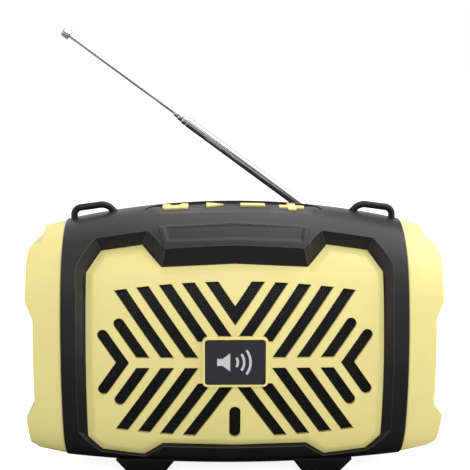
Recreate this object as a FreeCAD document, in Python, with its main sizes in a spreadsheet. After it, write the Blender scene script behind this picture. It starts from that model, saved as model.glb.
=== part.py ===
import FreeCAD, Part
import Sketcher
import math
import os
import re

# Bluetooth speaker: a barrel-shaped portable radio with a telescopic antenna, in millimetres.
# +X is the speaker's right as seen from the front, +Y points to its back, +Z up.
# The origin is the middle of the ground under the feet.

SIZES = {
    # Barrel body
    "seam_reach": 82.5,          # middle plane to the seam of each end cap
    "end_reach": 100.2,          # middle plane to the widest point of each end cap
    "body_top": 133.8,
    "body_floor": 2.45,
    "front_reach": 42.0,
    "rear_reach": 41.0,
    "roof_crown_radius": 390.0,  # the roof's arc in front view
    "floor_crown_radius": 740.0,
    "plan_crown_radius": 1200.0,
    "front_face_radius": 115.0,  # the front's arc in side view
    "rear_face_radius": 170.0,
    "roof_radius": 110.0,
    "floor_radius": 400.0,
    "brow_corner_radius": 38.0,
    "chin_corner_radius": 33.0,
    "rear_top_radius": 30.0,
    "rear_low_radius": 30.0,
    "shell_wall": 2.5,
    "parting_depth": 16.0,       # the plane where front and rear shells meet
    # Grille panel and its recess
    "panel_half_width": 71.2,
    "panel_side_top": 103.0,
    "panel_side_low": 22.6,
    "lobe_outer_reach": 64.4,
    "lobe_inner_reach": 44.3,
    "lobe_outer_top": 112.6,
    "lobe_inner_top": 115.5,
    "lobe_outer_low": 14.4,
    "lobe_inner_low": 11.2,
    "centre_reach": 34.8,
    "centre_top": 105.8,
    "centre_low": 18.5,
    "panel_top_bow": 1.6,        # how far the middle of the top and bottom edges bows out
    "panel_low_bow": 1.0,
    "panel_drop": 3.5,           # the recess floor is the barrel, inset and lowered by this
    "panel_edge_inset": 4.0,
    "panel_face_inset": 2.7,
    "panel_rim_thickness": 1.0,
    "panel_gap": 0.25,
    "panel_edge_slope": 3.8,     # width of the sloped margin round the panel's face
    "bevel_side": 4.0,           # how far the black bevel opens outwards, edge by edge
    "bevel_lobe": 6.4,
    "bevel_slant": 6.6,
    "bevel_brow": 7.7,
    "bevel_chin": 1.0,
    "ledge_width": 3.0,
    "frame_margin": 6.5,
    "frame_rear": 15.0,          # the panel's seat ends this far in front of the middle
    "mesh_thickness": 0.5,
    "ledge_thickness": 2.4,
    "baffle_face": 25.0,
    "baffle_thickness": 2.5,
    # Slots
    "slot_width": 6.5,           # measured along X
    "slot_pitch": 11.52,
    "slot_slope": 55.0,
    "slot_first": 55.13,         # the outermost slot's reach at the middle band
    "slot_middle": 61.05,
    "band_half": 2.35,
    "slot_top": 99.4,
    "slot_arc_radius": 385.0,
    "short_slot_rise": 18.6,
    "chevron_rise": 13.2,
    "centre_slot_width": 5.4,
    "centre_slot_top": 39.1,
    # Badge
    "badge_middle": 61.75,
    "badge_ring_width": 32.0,
    "badge_ring_height": 24.8,
    "badge_width": 28.6,
    "badge_height": 21.6,
    "badge_face": 40.3,          # depth of the plate's face in front of the middle
    "badge_ring_face": 40.9,
    "badge_ring_back": 38.0,
    "badge_ring_corner": 2.2,
    "badge_gap": 0.1,
    "badge_thickness": 1.3,
    "badge_corner": 1.4,
    "sign_rise": 0.3,            # the loudspeaker sign on the plate
    "sign_back_reach": 8.6,
    "sign_throat_reach": 6.0,
    "sign_mouth_reach": 2.4,
    "sign_throat_rise": 1.7,
    "sign_mouth_rise": 4.4,
    "sign_wave_first": 3.6,
    "sign_wave_pitch": 3.0,
    "sign_wave_half": 0.6,
    "sign_wave_slope": 0.75,
    # Brow over the panel
    "brow_rise": 1.0,
    "brow_top": 127.4,
    "brow_top_reach": 37.6,
    "brow_low": 113.3,
    "brow_low_reach": 34.4,
    "brow_bow": 1.1,
    "brow_back": 10.0,
    "brow_field_top": 126.0,
    "brow_field_low": 118.9,
    "brow_field_reach": 33.1,
    "brow_field_lean": 0.9,
    "brow_field_depth": 0.5,
    # Control panel, in its own tilted frame on the roof
    "control_height": 132.0,
    "control_tilt": 7.5,
    "control_crown": 634.0,
    "control_rear": 5.0,
    "control_rear_arc": 450.0,
    "control_reach": 50.0,
    "control_block_reach": 47.0,
    "control_window_reach": 41.4,
    "plate_reach": 46.0,
    "plate_gap": 0.05,
    "plate_front": 13.4,
    "plate_depth": 3.2,
    "control_ledge": 1.6,
    "control_block_depth": 5.4,
    "key_rise": 0.7,
    "key_gap": 0.25,
    "key_flange": 0.9,
    "key_stem_radius": 1.6,
    "key_stem_drop": 6.6,
    "key_slack": 0.2,
    "call_key_place": 28.7,
    "call_key_width": 12.8,
    "call_key_depth": 8.5,
    "call_key_row": 1.5,
    "call_key_notch": 3.0,       # between the handset's two ends
    "call_key_notch_half": 2.8,
    "call_key_notch_floor": 2.1,
    "call_key_chamfer": 1.2,
    "play_key_place": 9.05,
    "play_key_width": 8.8,
    "play_key_depth": 7.6,
    "minus_key_place": 9.55,
    "minus_key_width": 12.4,
    "plus_key_place": 28.7,
    "plus_key_width": 12.4,
    "plus_key_depth": 11.4,
    "key_bar": 4.2,
    "key_row": 0.4,
    "plus_key_row": 2.8,
    "key_board_drop": 9.2,
    "key_board_thickness": 1.2,
    "key_board_reach": 47.0,
    "key_board_front": 11.0,
    "key_board_rear": 3.0,
    "key_switch_side": 4.5,
    "key_switch_height": 1.7,
    "key_plunger_height": 0.3,
    "key_plunger_radius": 1.3,
    "key_flange_side": 0.6,      # how far the flange under each key stands out
    "key_flange_end": 0.3,
    "key_screw_reach": 43.8,
    "key_screw_row": 4.0,
    "key_screw_bore": 5.0,
    "key_boss_radius": 2.6,
    # Strap loops
    "loop_radius": 1.7,
    "loop_outer_reach": 78.8,
    "loop_shoulder": 130.7,
    "loop_inner_reach": 62.2,
    "loop_crest": 133.4,
    "loop_foot_reach": 54.8,
    "loop_bend": 3.0,
    "loop_peg": 2.2,
    "loop_leg": 12.0,
    # End caps
    "cap_nib_reach": 93.1,
    "cap_nib_height": 121.4,
    "cap_scoop_low": 114.6,
    "cap_scoop_reach": 98.5,
    "cap_bulge_reach": 99.5,
    "cap_bulge_top": 102.3,
    "cap_bulge_low": 89.7,
    "cap_waist_top": 81.2,
    "cap_waist_reach": 95.9,
    "cap_waist_low": 40.0,
    "cap_lower_bulge": 33.6,
    "cap_heel_reach": 99.7,
    "cap_heel_height": 17.4,
    "cap_chin_reach": 97.3,
    "cap_chin_height": 14.8,
    "cap_chin_step": 2.0,
    "cap_scoop_bow": 2.4,         # how far the scoop sinks inside its chord
    "cap_bulge_bow": 0.6,         # how far the bulge stands outside its chord
    "cap_sink": 0.45,            # how far the caps lie inside the line of the shells between them
    "cap_roof_slope": 0.24,      # the caps' roofs are straighter than the barrel's crown
    "cap_floor_slope": 0.10,     # the caps' undersides rise faster than the barrel's
    "cap_plan_corner": 4.0,
    "cap_wall": 2.2,
    "cap_post_radius": 3.0,
    "cap_screw_low": 30.0,
    "cap_screw_high": 100.0,
    "cap_screw_depth": 22.0,
    "cap_screw_bite": 6.0,
    # Feet
    "foot_inner": 34.0,
    "foot_outer": 53.2,
    "foot_front": 15.3,
    "foot_rear": 21.0,
    "foot_flare_side": 5.4,
    "foot_flare_front": 6.8,
    "foot_flare_rear": 3.2,
    "foot_height": 8.5,
    # Antenna
    "antenna_reach": 45.7,
    "antenna_depth": 28.0,
    "antenna_pivot": 121.7,
    "antenna_lean": 36.3,        # angle over the horizontal as photographed
    "antenna_tube_radius": 2.6,
    "antenna_wall": 0.3,
    "antenna_slide_gap": 0.1,
    "antenna_middle_radius": 2.15,
    "antenna_inner_radius": 1.7,
    "antenna_rod_radius": 1.05,
    "antenna_tube_start": 6.0,
    "antenna_tube_end": 87.8,
    "antenna_middle_end": 90.5,
    "antenna_inner_end": 93.2,
    "antenna_tip": 163.5,
    "antenna_knob_length": 4.6,
    "antenna_knob_radius": 2.6,
    "antenna_rod_start": 86.0,
    "groove_radius": 3.3,
    "groove_wall": 2.2,
    "groove_reach": 64.0,
    "swivel_radius": 4.5,
    "swivel_pocket_radius": 8.0,
    "swivel_pocket_floor": 115.5,
    "swivel_boss_radius": 10.0,
    "swivel_boss_floor": 106.5,
    "swivel_neck_radius": 2.6,
    "socket_radius": 5.6,
    "fork_gap": 2.8,
    "tongue_thickness": 2.4,
    "tongue_radius": 3.0,
    "pin_radius": 1.0,
    "running_gap": 0.1,
    # Drivers
    "driver_reach": 36.5,
    "driver_height": 61.35,
    "driver_radius": 28.5,
    "driver_opening": 24.3,
    "driver_gasket": 0.8,
    "driver_flange": 1.5,
    "driver_basket_depth": 15.0,
    "driver_magnet_radius": 16.5,
    "driver_magnet_depth": 11.0,
    "driver_screw_margin": 2.0,
    "driver_bore_floor": 0.6,    # what each bore leaves of the baffle
    "cone_radius": 19.0,
    "coil_radius": 8.0,
    "cone_depth": 10.0,
    "cone_thickness": 0.7,
    # Boards, battery and sockets
    "board_top": 67.6,
    "board_thickness": 1.6,
    "board_reach": 34.0,
    "board_front": 8.5,
    "board_rear": 37.0,
    "board_screw_margin": 2.5,
    "board_screw_depth": 24.0,
    "board_lug_width": 5.0,
    "board_lug_height": 4.0,
    "board_lug_front": 20.0,
    "cell_radius": 9.1,
    "cell_length": 65.0,
    "cell_depth": 22.0,
    "lower_cell_height": 24.5,
    "upper_cell_height": 43.3,
    "cell_gap": 0.1,
    "holder_reach": 36.0,
    "holder_rear": 33.5,
    "port_panel_reach": 31.0,
    "port_panel_half_height": 6.5,
    "port_panel_face": 40.4,
    "port_panel_thickness": 1.2,
    "port_panel_gap": 0.2,
    "port_block_depth": 37.4,
    "port_block_margin": 2.0,
    "port_corner": 2.0,
    "socket_gap": 0.2,
    "pin_gap": 0.1,              # round the jack and the light
    "charge_place": 3.0,
    "charge_width": 8.9,
    "charge_height": 3.2,
    "card_place": 11.0,
    "card_width": 14.0,
    "card_height": 1.9,
    "jack_place": 24.5,
    "jack_radius": 3.0,
    "jack_bore_radius": 1.8,
    "jack_bore_depth": 13.0,
    "power_place": 22.0,
    "power_case_width": 9.0,
    "power_case_height": 3.4,
    "power_travel": 2.0,
    "power_nub_width": 2.6,
    "power_slot_gap": 0.5,
    "power_slot_rise": 1.3,
    "light_place": 12.5,
    "light_radius": 1.0,
    # Fasteners
    "screw_head_radius": 2.5,
    "screw_head_height": 1.6,
    "screw_radius": 1.2,
    "post_radius": 3.6,
    "case_screw_reach": 70.0,
    "case_screw_high": 99.0,
    "case_screw_low": 27.0,
    "case_screw_seat": 9.0,      # from the parting to where the heads bear
    "case_screw_bite": 11.0,
    "bore_spare": 2.0,           # how much deeper a bore is than its screw
    "small_head_radius": 1.9,
    "small_head_height": 1.2,
    "small_screw_radius": 0.9,
    "small_screw_length": 3.6,
    "screw_gap": 0.15,
    "post_bore_gap": 0.2,
    "head_gap": 0.3,
    "holder_screw_depth": 2.0,
    "holder_screw_margin": 5.0,
    "holder_screw_bore": 4.5,
    "holder_post_radius": 3.0,
}

doc = FreeCAD.newDocument("BluetoothSpeaker")
sheet = doc.addObject("Spreadsheet::Sheet", "Sizes")
for row, (alias, value) in enumerate(SIZES.items(), start=1):
    sheet.set(f"A{row}", alias)
    sheet.set(f"B{row}", str(value))
    sheet.setAlias(f"B{row}", alias)
doc.recompute()

NODES = []  # the sub-parts that are written, in order of assembly
X_AXIS = FreeCAD.Vector(1, 0, 0)
Y_AXIS = FreeCAD.Vector(0, 1, 0)
Z_AXIS = FreeCAD.Vector(0, 0, 1)


def size(alias):
    """A driving dimension, read from the sheet."""
    return float(sheet.get(alias))


ALIAS = r"[a-z_]{4,}"  # what a driving dimension's name looks like in an expression


def formula(text):
    """An expression in which every alias is read from the sheet."""
    return re.sub(ALIAS, lambda word: "Sizes." * (word.group() in SIZES) + word.group(), text)


def keep(label, made):
    """Names a finished sub-part, which is then written to its own file."""
    made.Label = label
    NODES.append(made)
    return made


def keep_shape(label, shape):
    """A finished sub-part whose shape is worked out here."""
    made = doc.addObject("Part::Feature", label)
    made.Shape = shape
    return keep(label, made)


def vec(x, y, z):
    return FreeCAD.Vector(x, y, z)


# Part primitives bound to the sheet

def block(name, x, y, z):
    """A box between pairs of expressions along X, Y and Z."""
    made = doc.addObject("Part::Box", name)
    for side, axis, (low, high) in (("Length", "x", x), ("Width", "y", y), ("Height", "z", z)):
        made.setExpression(side, formula(f"({high}) - ({low})"))
        made.setExpression(f"Placement.Base.{axis}", formula(low))
    return made


def rod(name, radius, start, length, along="Z"):
    """A cylinder from a start point, along an axis."""
    made = doc.addObject("Part::Cylinder", name)
    turns = {"X": FreeCAD.Rotation(Y_AXIS, 90), "Y": FreeCAD.Rotation(X_AXIS, -90), "Z": FreeCAD.Rotation()}
    made.Placement = FreeCAD.Placement(FreeCAD.Vector(), turns[along])
    made.setExpression("Radius", formula(radius))
    made.setExpression("Height", formula(length))
    for axis, place in zip("xyz", start):
        made.setExpression(f"Placement.Base.{axis}", formula(place))
    return made


def joined(name, pieces):
    made = doc.addObject("Part::MultiFuse", name)
    made.Shapes = pieces
    return made


def less(name, base, tool):
    made = doc.addObject("Part::Cut", name)
    made.Base = base
    made.Tool = tool
    return made


# PartDesign bodies with sketches bound to the sheet

def new_body(name):
    return doc.addObject("PartDesign::Body", name)


def sketch_on(body, role, name, lift="0"):
    """A sketch on one of the body's own origin planes, lifted along the plane's normal."""
    made = body.newObject("Sketcher::SketchObject", name)
    plane = next(f for f in body.Origin.OriginFeatures if f.Role == role)
    made.AttachmentSupport = [(plane, "")]
    made.MapMode = "FlatFace"
    made.setExpression("AttachmentOffset.Base.z", formula(lift))
    return made


def pin_point(sketch, geometry, end, x, y):
    """Fixes a sketch point at a pair of expressions from the sketch's origin."""
    for kind, place in (("DistanceX", x), ("DistanceY", y)):
        start = sketch.getPoint(geometry, end)
        value = start.x if kind == "DistanceX" else start.y
        index = sketch.addConstraint(Sketcher.Constraint(kind, -1, 1, geometry, end, value))
        sketch.setExpression(f"Constraints[{index}]", formula(place))


def outline(sketch, corners):
    """A closed outline of straight lines through pairs of expressions."""
    points = [vec(worth(x), worth(y), 0) for x, y in corners]
    count = len(points)
    first = sketch.GeometryCount
    for k in range(count):
        sketch.addGeometry(Part.LineSegment(points[k], points[(k + 1) % count]))
    for k in range(count):
        sketch.addConstraint(Sketcher.Constraint("Coincident", first + k, 2, first + (k + 1) % count, 1))
    for k, (x, y) in enumerate(corners):
        pin_point(sketch, first + k, 1, x, y)


def ring(sketch, radius, x="0", y="0"):
    """A circle of a radius and centre given as expressions."""
    index = sketch.addGeometry(Part.Circle(vec(worth(x), worth(y), 0), Z_AXIS, worth(radius)))
    pin_point(sketch, index, 3, x, y)
    number = sketch.addConstraint(Sketcher.Constraint("Radius", index, worth(radius)))
    sketch.setExpression(f"Constraints[{number}]", formula(radius))


def worth(text):
    """The number that an expression gives now."""
    names = {alias: repr(size(alias)) for alias in SIZES if alias in text}
    total = re.sub(ALIAS, lambda word: names.get(word.group(), word.group()), text)
    return float(FreeCAD.Units.Quantity(total).Value)


def padded(body, sketch, length, both_ways=False):
    made = body.newObject("PartDesign::Pad", sketch.Name + "Pad")
    made.Profile = sketch
    made.setExpression("Length", formula(length))
    if both_ways:
        made.SideType = "Symmetric"
    return made


def pocketed(body, sketch, length, both_ways=False, upwards=False):
    """Cuts into the body, and makes sure that material came off."""
    doc.recompute()
    before = body.Shape.Volume
    made = body.newObject("PartDesign::Pocket", sketch.Name + "Pocket")
    made.Profile = sketch
    made.setExpression("Length", formula(length))
    made.Reversed = upwards
    if both_ways:
        made.SideType = "Symmetric"
    doc.recompute()
    if body.Shape.Volume >= before:
        raise RuntimeError(f"{made.Name} cuts nothing")
    return made


def turned(name, corners):
    """A body of revolution about its own Z axis, through corners of radius and height."""
    body = new_body(name)
    sketch = sketch_on(body, "XZ_Plane", name + "Profile")
    outline(sketch, corners)
    made = body.newObject("PartDesign::Revolution", name + "Turn")
    made.Profile = sketch
    made.ReferenceAxis = (sketch, ["V_Axis"])
    made.Angle = 360
    return body


def place(made, x, y, z, axis=Z_AXIS, angle="0"):
    """Puts a sub-part where expressions say, turned about an axis."""
    made.Placement = FreeCAD.Placement(FreeCAD.Vector(), FreeCAD.Rotation(axis, 1))
    for letter, text in zip("xyz", (x, y, z)):
        made.setExpression(f"Placement.Base.{letter}", formula(text))
    made.setExpression("Placement.Rotation.Angle", formula(angle))
    return made


# The barrel: sections of eight tangent arcs, drawn in the Y-Z plane and lofted along X

def crown(radius, x):
    """How far an arc of this radius has fallen at x."""
    return radius - math.sqrt(radius * radius - x * x)


def tangent_centre(big_a, radius_a, big_b, radius_b, radius, side):
    """Centre of a corner arc inside two larger arcs, on the given side of the section."""
    reach_a = radius_a - radius
    reach_b = radius_b - radius
    step = big_b - big_a
    along = (reach_a ** 2 - reach_b ** 2 + step.Length ** 2) / (2 * step.Length)
    across = math.sqrt(reach_a ** 2 - along ** 2)
    way = vec(step.x, step.y, 0).normalize()
    choices = [big_a + way * along + vec(-way.y, way.x, 0) * across * turn for turn in (1, -1)]
    return max(choices, key=lambda point: (point - big_a).dot(side) + (point - big_b).dot(side))


def section_arcs(x):
    """Centres and radii of the barrel's section at x, as (depth, height, radius) by name."""
    top = size("body_top") - crown(size("roof_crown_radius"), min(abs(x), size("seam_reach")))
    top -= size("cap_roof_slope") * max(abs(x) - size("seam_reach"), 0)
    floor = size("body_floor") + crown(size("floor_crown_radius"), x)
    floor += size("cap_floor_slope") * max(abs(x) - size("seam_reach"), 0)
    front = -size("front_reach") + crown(size("plan_crown_radius"), x)
    rear = size("rear_reach") - crown(size("plan_crown_radius"), x)
    middle = (top + floor) / 2
    arcs = {
        "front": (vec(front + size("front_face_radius"), middle, 0), size("front_face_radius")),
        "rear": (vec(rear - size("rear_face_radius"), middle, 0), size("rear_face_radius")),
        "roof": (vec(0, top - size("roof_radius"), 0), size("roof_radius")),
        "floor": (vec(0, floor + size("floor_radius"), 0), size("floor_radius")),
    }
    corners = (
        ("brow", "front", "roof", "brow_corner_radius", vec(-1, 1, 0)),
        ("chin", "front", "floor", "chin_corner_radius", vec(-1, -1, 0)),
        ("rear_top", "rear", "roof", "rear_top_radius", vec(1, 1, 0)),
        ("rear_low", "rear", "floor", "rear_low_radius", vec(1, -1, 0)),
    )
    for name, one, other, radius, side in corners:
        centre = tangent_centre(*arcs[one], *arcs[other], size(radius), side)
        arcs[name] = (centre, size(radius))
    return arcs


def heading(start, end):
    """Angle from one centre to another, in turn from 0 to a full turn."""
    return math.atan2(end.y - start.y, end.x - start.x) % (2 * math.pi)


def section_wire(x, inset):
    """The closed section at x, moved inwards by the inset."""
    arcs = section_arcs(x)
    order = ("roof", "brow", "front", "chin", "floor", "rear_low", "rear", "rear_top")
    edges = []
    joints = []
    for k, name in enumerate(order):
        big, corner = (name, order[(k + 1) % 8]) if k % 2 == 0 else (order[(k + 1) % 8], name)
        joints.append(heading(arcs[big][0], arcs[corner][0]))
    for k, name in enumerate(order):
        centre, radius = arcs[name]
        start = joints[k - 1]
        stop = joints[k]
        while stop < start:
            stop += 2 * math.pi
        reach = radius - inset
        ends = []
        for angle in (start, (start + stop) / 2, stop):
            ends.append(centre + vec(math.cos(angle), math.sin(angle), 0) * reach)
        edges.append(Part.Arc(*[vec(x, point.x, point.y) for point in ends]).toShape())
    return Part.Wire(edges)


def barrel(inset, low, high, drop=0.0):
    """The barrel between two places along X, moved inwards by the inset and lowered by the drop."""
    stations = 9
    wires = [section_wire(low + (high - low) * k / (stations - 1), inset) for k in range(stations)]
    made = Part.makeLoft(wires, True, False)
    made.translate(vec(0, 0, -drop))
    return made


def front_depth(x, z, inset, drop):
    """Y of the barrel's front surface at x and z, for an inset and a drop."""
    arcs = section_arcs(x)
    height = z + drop
    centre, radius = arcs["front"]
    for name in ("brow", "chin"):
        corner = arcs[name][0]
        limit = centre.y + (corner.y - centre.y) * (radius - inset) / (corner - centre).Length
        beyond = height > limit if name == "brow" else height < limit
        if beyond:
            centre, radius = arcs[name]
            break
    reach = radius - inset
    return centre.x - math.sqrt(max(reach * reach - (height - centre.y) ** 2, 0.0))


def prism(points, front, rear):
    """A prism along Y over a closed outline in the X-Z plane."""
    wire = Part.makePolygon([vec(x, front, z) for x, z in points + points[:1]])
    return Part.Face(wire).extrude(vec(0, rear - front, 0))


def mirrored(shape):
    return shape.mirror(FreeCAD.Vector(), X_AXIS)


def both_sides(right_half):
    """A closed outline from its right half, listed from the bottom up."""
    left_half = [(-x, z) for x, z in reversed(right_half) if x > 0]
    return right_half + left_half


def widened(points, moves):
    """An outline whose edges are moved outwards, each by its own distance."""
    count = len(points)
    area = 0.0
    for k in range(count):
        (x, y), (next_x, next_y) = points[k], points[(k + 1) % count]
        area += x * next_y - next_x * y
    turn = 1 if area > 0 else -1
    lines = []
    for k in range(count):
        (x0, z0), (x1, z1) = points[k], points[(k + 1) % count]
        length = math.hypot(x1 - x0, z1 - z0)
        normal = (turn * (z1 - z0) / length, -turn * (x1 - x0) / length)
        lines.append((normal, normal[0] * x0 + normal[1] * z0 + moves[k]))
    made = []
    for k in range(count):
        (a, b), c = lines[k - 1]
        (d, e), f = lines[k]
        cross = a * e - b * d
        if abs(cross) < 0.02:
            x, z = points[k]
            made.append((x + a * moves[k], z + b * moves[k]))
        else:
            made.append(((c * e - b * f) / cross, (a * f - c * d) / cross))
    return made


def panel_outline():
    """The grille panel's outline: two lobes above and two below a lower middle."""
    half = size("panel_half_width")
    right = [
        (0.0, size("centre_low") - size("panel_low_bow")),
        (size("centre_reach"), size("centre_low")),
        (size("lobe_inner_reach"), size("lobe_inner_low")),
        (size("lobe_outer_reach"), size("lobe_outer_low")),
        (half, size("panel_side_low")),
        (half, size("panel_side_top")),
        (size("lobe_outer_reach"), size("lobe_outer_top")),
        (size("lobe_inner_reach"), size("lobe_inner_top")),
        (size("centre_reach"), size("centre_top")),
        (0.0, size("centre_top") + size("panel_top_bow")),
    ]
    return both_sides(right)


def edge_moves(chin, slant_low, lobe_low, corner_low, side, corner_high, lobe_high, slant_high, brow):
    """One distance per edge of the panel's outline, right half from the bottom up and then back down."""
    right = [chin, slant_low, lobe_low, corner_low, side, corner_high, lobe_high, slant_high, brow]
    return right + right[::-1]


def even_moves(distance):
    return [distance] * 18


PANEL_STEPS = 6  # pieces into which a long side is divided, to follow the barrel


def divided(points):
    """The outline's points with its two long sides divided evenly."""
    made = []
    count = len(points)
    for k in range(count):
        (x0, z0), (x1, z1) = points[k], points[(k + 1) % count]
        steps = PANEL_STEPS if abs(z1 - z0) > 40 else 1
        made += [(x0 + (x1 - x0) * j / steps, z0 + (z1 - z0) * j / steps) for j in range(steps)]
    return made


def bevelled_plug(inner, inner_inset, outer, outer_inset, drop_out):
    """A faceted plug whose walls pass through an outline on the recess floor and one on the barrel."""
    inner_ring = [vec(x, front_depth(x, z, inner_inset, size("panel_drop")), z) for x, z in divided(inner)]
    outer_ring = [vec(x, front_depth(x, z, outer_inset, drop_out), z) for x, z in divided(outer)]
    deep = [a + (a - b) * 0.8 for a, b in zip(inner_ring, outer_ring)]
    proud = [b + (b - a) * 0.8 for a, b in zip(inner_ring, outer_ring)]
    middle = size("slot_middle")
    back = vec(0, 0, middle)
    front = vec(0, -2 * size("front_reach"), middle)
    faces = []
    count = len(deep)
    for k in range(count):
        n = (k + 1) % count
        if deep[k].x + deep[n].x > 0:
            halves = ((deep[k], deep[n], proud[n]), (deep[k], proud[n], proud[k]))
        else:  # the mirrored diagonal, so that both halves of the object match
            halves = ((deep[k], deep[n], proud[k]), (deep[n], proud[n], proud[k]))
        for corners in halves + ((deep[k], deep[n], back), (proud[k], proud[n], front)):
            faces.append(Part.Face(Part.makePolygon(list(corners) + [corners[0]])))
    shell = Part.makeShell(faces)
    shell.sewShape()
    plug = Part.makeSolid(shell)
    if plug.Volume < 0:
        plug.reverse()
    return plug


# Shared solids

SEAM = size("seam_reach")
WALL = size("shell_wall")
FAR = 200.0  # past every face of the object
PANEL_BACK = size("panel_edge_inset") + size("panel_rim_thickness")
SEAT_INSET = PANEL_BACK + size("mesh_thickness")
BODY = barrel(0.0, -SEAM, SEAM)
CAVITY = barrel(WALL, WALL - SEAM, SEAM - WALL)
PANEL_RIM = panel_outline()


def box_between(x, y, z):
    return Part.makeBox(x[1] - x[0], y[1] - y[0], z[1] - z[0], vec(x[0], y[0], z[0]))


def in_control_frame(shape):
    """Moves a shape from the control panel's own frame to the roof."""
    made = shape.copy()
    made.Placement = FreeCAD.Placement(vec(0, 0, size("control_height")),
                                       FreeCAD.Rotation(X_AXIS, size("control_tilt")))
    return made


def control_cylinder(radius_change=0.0):
    """The crowned floor of the control recess, as a long cylinder along the panel's own Y."""
    radius = size("control_crown") + radius_change
    return Part.makeCylinder(radius, 2 * FAR, vec(0, -FAR, -size("control_crown")), Y_AXIS)


def control_rear_wall(inwards):
    """The curved back of the control recess, moved forwards by a distance."""
    radius = size("control_rear_arc")
    return Part.makeCylinder(radius, FAR, vec(0, size("control_rear") - inwards - radius, -FAR / 2), Z_AXIS)


def strap_loop_rod(extra):
    """The left strap loop's round bar, bent over two shoulders, with its radius grown by extra."""
    path = [
        vec(-size("loop_outer_reach"), 0, size("loop_shoulder") - size("loop_leg")),
        vec(-size("loop_outer_reach"), 0, size("loop_shoulder")),
        vec(-size("loop_inner_reach"), 0, size("loop_crest")),
        vec(-size("loop_foot_reach"), 0,
            size("loop_crest") - (size("loop_inner_reach") - size("loop_foot_reach"))),
    ]
    return round_bar(path, size("loop_radius") + extra, size("loop_bend"))


def round_bar(points, radius, bend):
    """A round bar or wire along straight runs joined by tangent arcs."""
    edges = []
    start = points[0]
    for k in range(1, len(points) - 1):
        back = (points[k - 1] - points[k]).normalize()
        ahead = (points[k + 1] - points[k]).normalize()
        half_turn = (math.pi - back.getAngle(ahead)) / 2
        reach = min(bend * math.tan(half_turn),
                    0.45 * min((points[k] - points[k - 1]).Length, (points[k + 1] - points[k]).Length))
        arc_radius = reach / math.tan(half_turn)
        into = points[k] + back * reach
        out = points[k] + ahead * reach
        centre_way = (back + ahead).normalize()
        middle = points[k] + centre_way * (arc_radius / math.cos(half_turn) - arc_radius)
        edges.append(Part.LineSegment(start, into).toShape())
        edges.append(Part.Arc(into, middle, out).toShape())
        start = out
    edges.append(Part.LineSegment(start, points[-1]).toShape())
    wire = Part.Wire(edges)
    way = (points[1] - points[0]).normalize()
    section = Part.Wire([Part.makeCircle(radius, points[0], way)])
    return wire.makePipeShell([section], True, False)


def post_places():
    """The four posts where the case screws join the shells."""
    places = []
    for side in (-1, 1):
        for height in (size("case_screw_low"), size("case_screw_high")):
            places.append((side * size("case_screw_reach"), height))
    return places


def slot_cutters():
    """The slots of the grille, as prisms through the panel, for both halves and both bands."""
    lean = 1.0 / math.tan(math.radians(size("slot_slope")))
    half = size("slot_width") / 2
    middle = size("slot_middle")
    band = size("band_half")
    end_radius = half * math.sin(math.radians(size("slot_slope")))

    def arc_height(x):
        """Height over the middle of the arc on which the slots end."""
        return size("slot_top") - middle - x * x / (2 * size("slot_arc_radius"))

    def slanted(reach, low, high):
        """A slot from one height over the middle to another, ended by the arc where high is None."""
        corners = [(-reach - half - (low - band) * lean, low), (-reach + half - (low - band) * lean, low)]
        for edge in (half, -half):
            rise = high
            if rise is None:
                rise = size("slot_top") - middle
                for _ in range(20):
                    rise = arc_height(-reach + edge - (rise - band) * lean)
            corners.append((-reach + edge - (rise - band) * lean, rise))
        return corners

    def round_end(reach, rise):
        return Part.makeCylinder(end_radius, FAR, vec(-reach - (rise - band) * lean, -FAR, rise), Y_AXIS)

    quarter = []
    first = size("slot_first")
    pitch = size("slot_pitch")
    quarter.append(prism(slanted(first, -half, size("chevron_rise")), -FAR, 0))
    quarter.append(round_end(first, size("chevron_rise")))
    quarter.append(prism(slanted(first - pitch, band, size("short_slot_rise")), -FAR, 0))
    quarter.append(round_end(first - pitch, size("short_slot_rise")))
    for k in range(2, 6):
        quarter.append(prism(slanted(first - k * pitch, band, None), -FAR, 0))
    upper_left = quarter[0].multiFuse(quarter[1:])
    upper_left = upper_left.common(box_between((-FAR, 0), (-FAR, 0), (0, FAR)))
    vee = prism(slanted(first - 6 * pitch, band, None), -FAR, 0)
    vee = vee.common(box_between((-FAR, 0), (-FAR, 0), (0, FAR)))
    lower_left = upper_left.mirror(FreeCAD.Vector(), Z_AXIS)
    left = upper_left.multiFuse([lower_left, vee])
    tools = left.fuse(mirrored(left))
    tools.translate(vec(0, 0, middle))
    width = size("centre_slot_width") / 2
    low = 2 * middle - size("slot_top") + width
    high = size("centre_slot_top") - width
    centre = box_between((-width, width), (-FAR, 0), (low, high))
    ends = [Part.makeCylinder(width, FAR, vec(0, -FAR, z), Y_AXIS) for z in (low, high)]
    ring_half = size("badge_ring_width") / 2
    ring_rise = size("badge_ring_height") / 2
    badge = size("badge_middle")
    guard = box_between((-ring_half, ring_half), (-FAR, 0), (badge - ring_rise, badge + ring_rise))
    return tools.multiFuse([centre] + ends).cut(guard)


# Front shell: the black front of the barrel, with the panel's recess, the brow and the baffle

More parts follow.
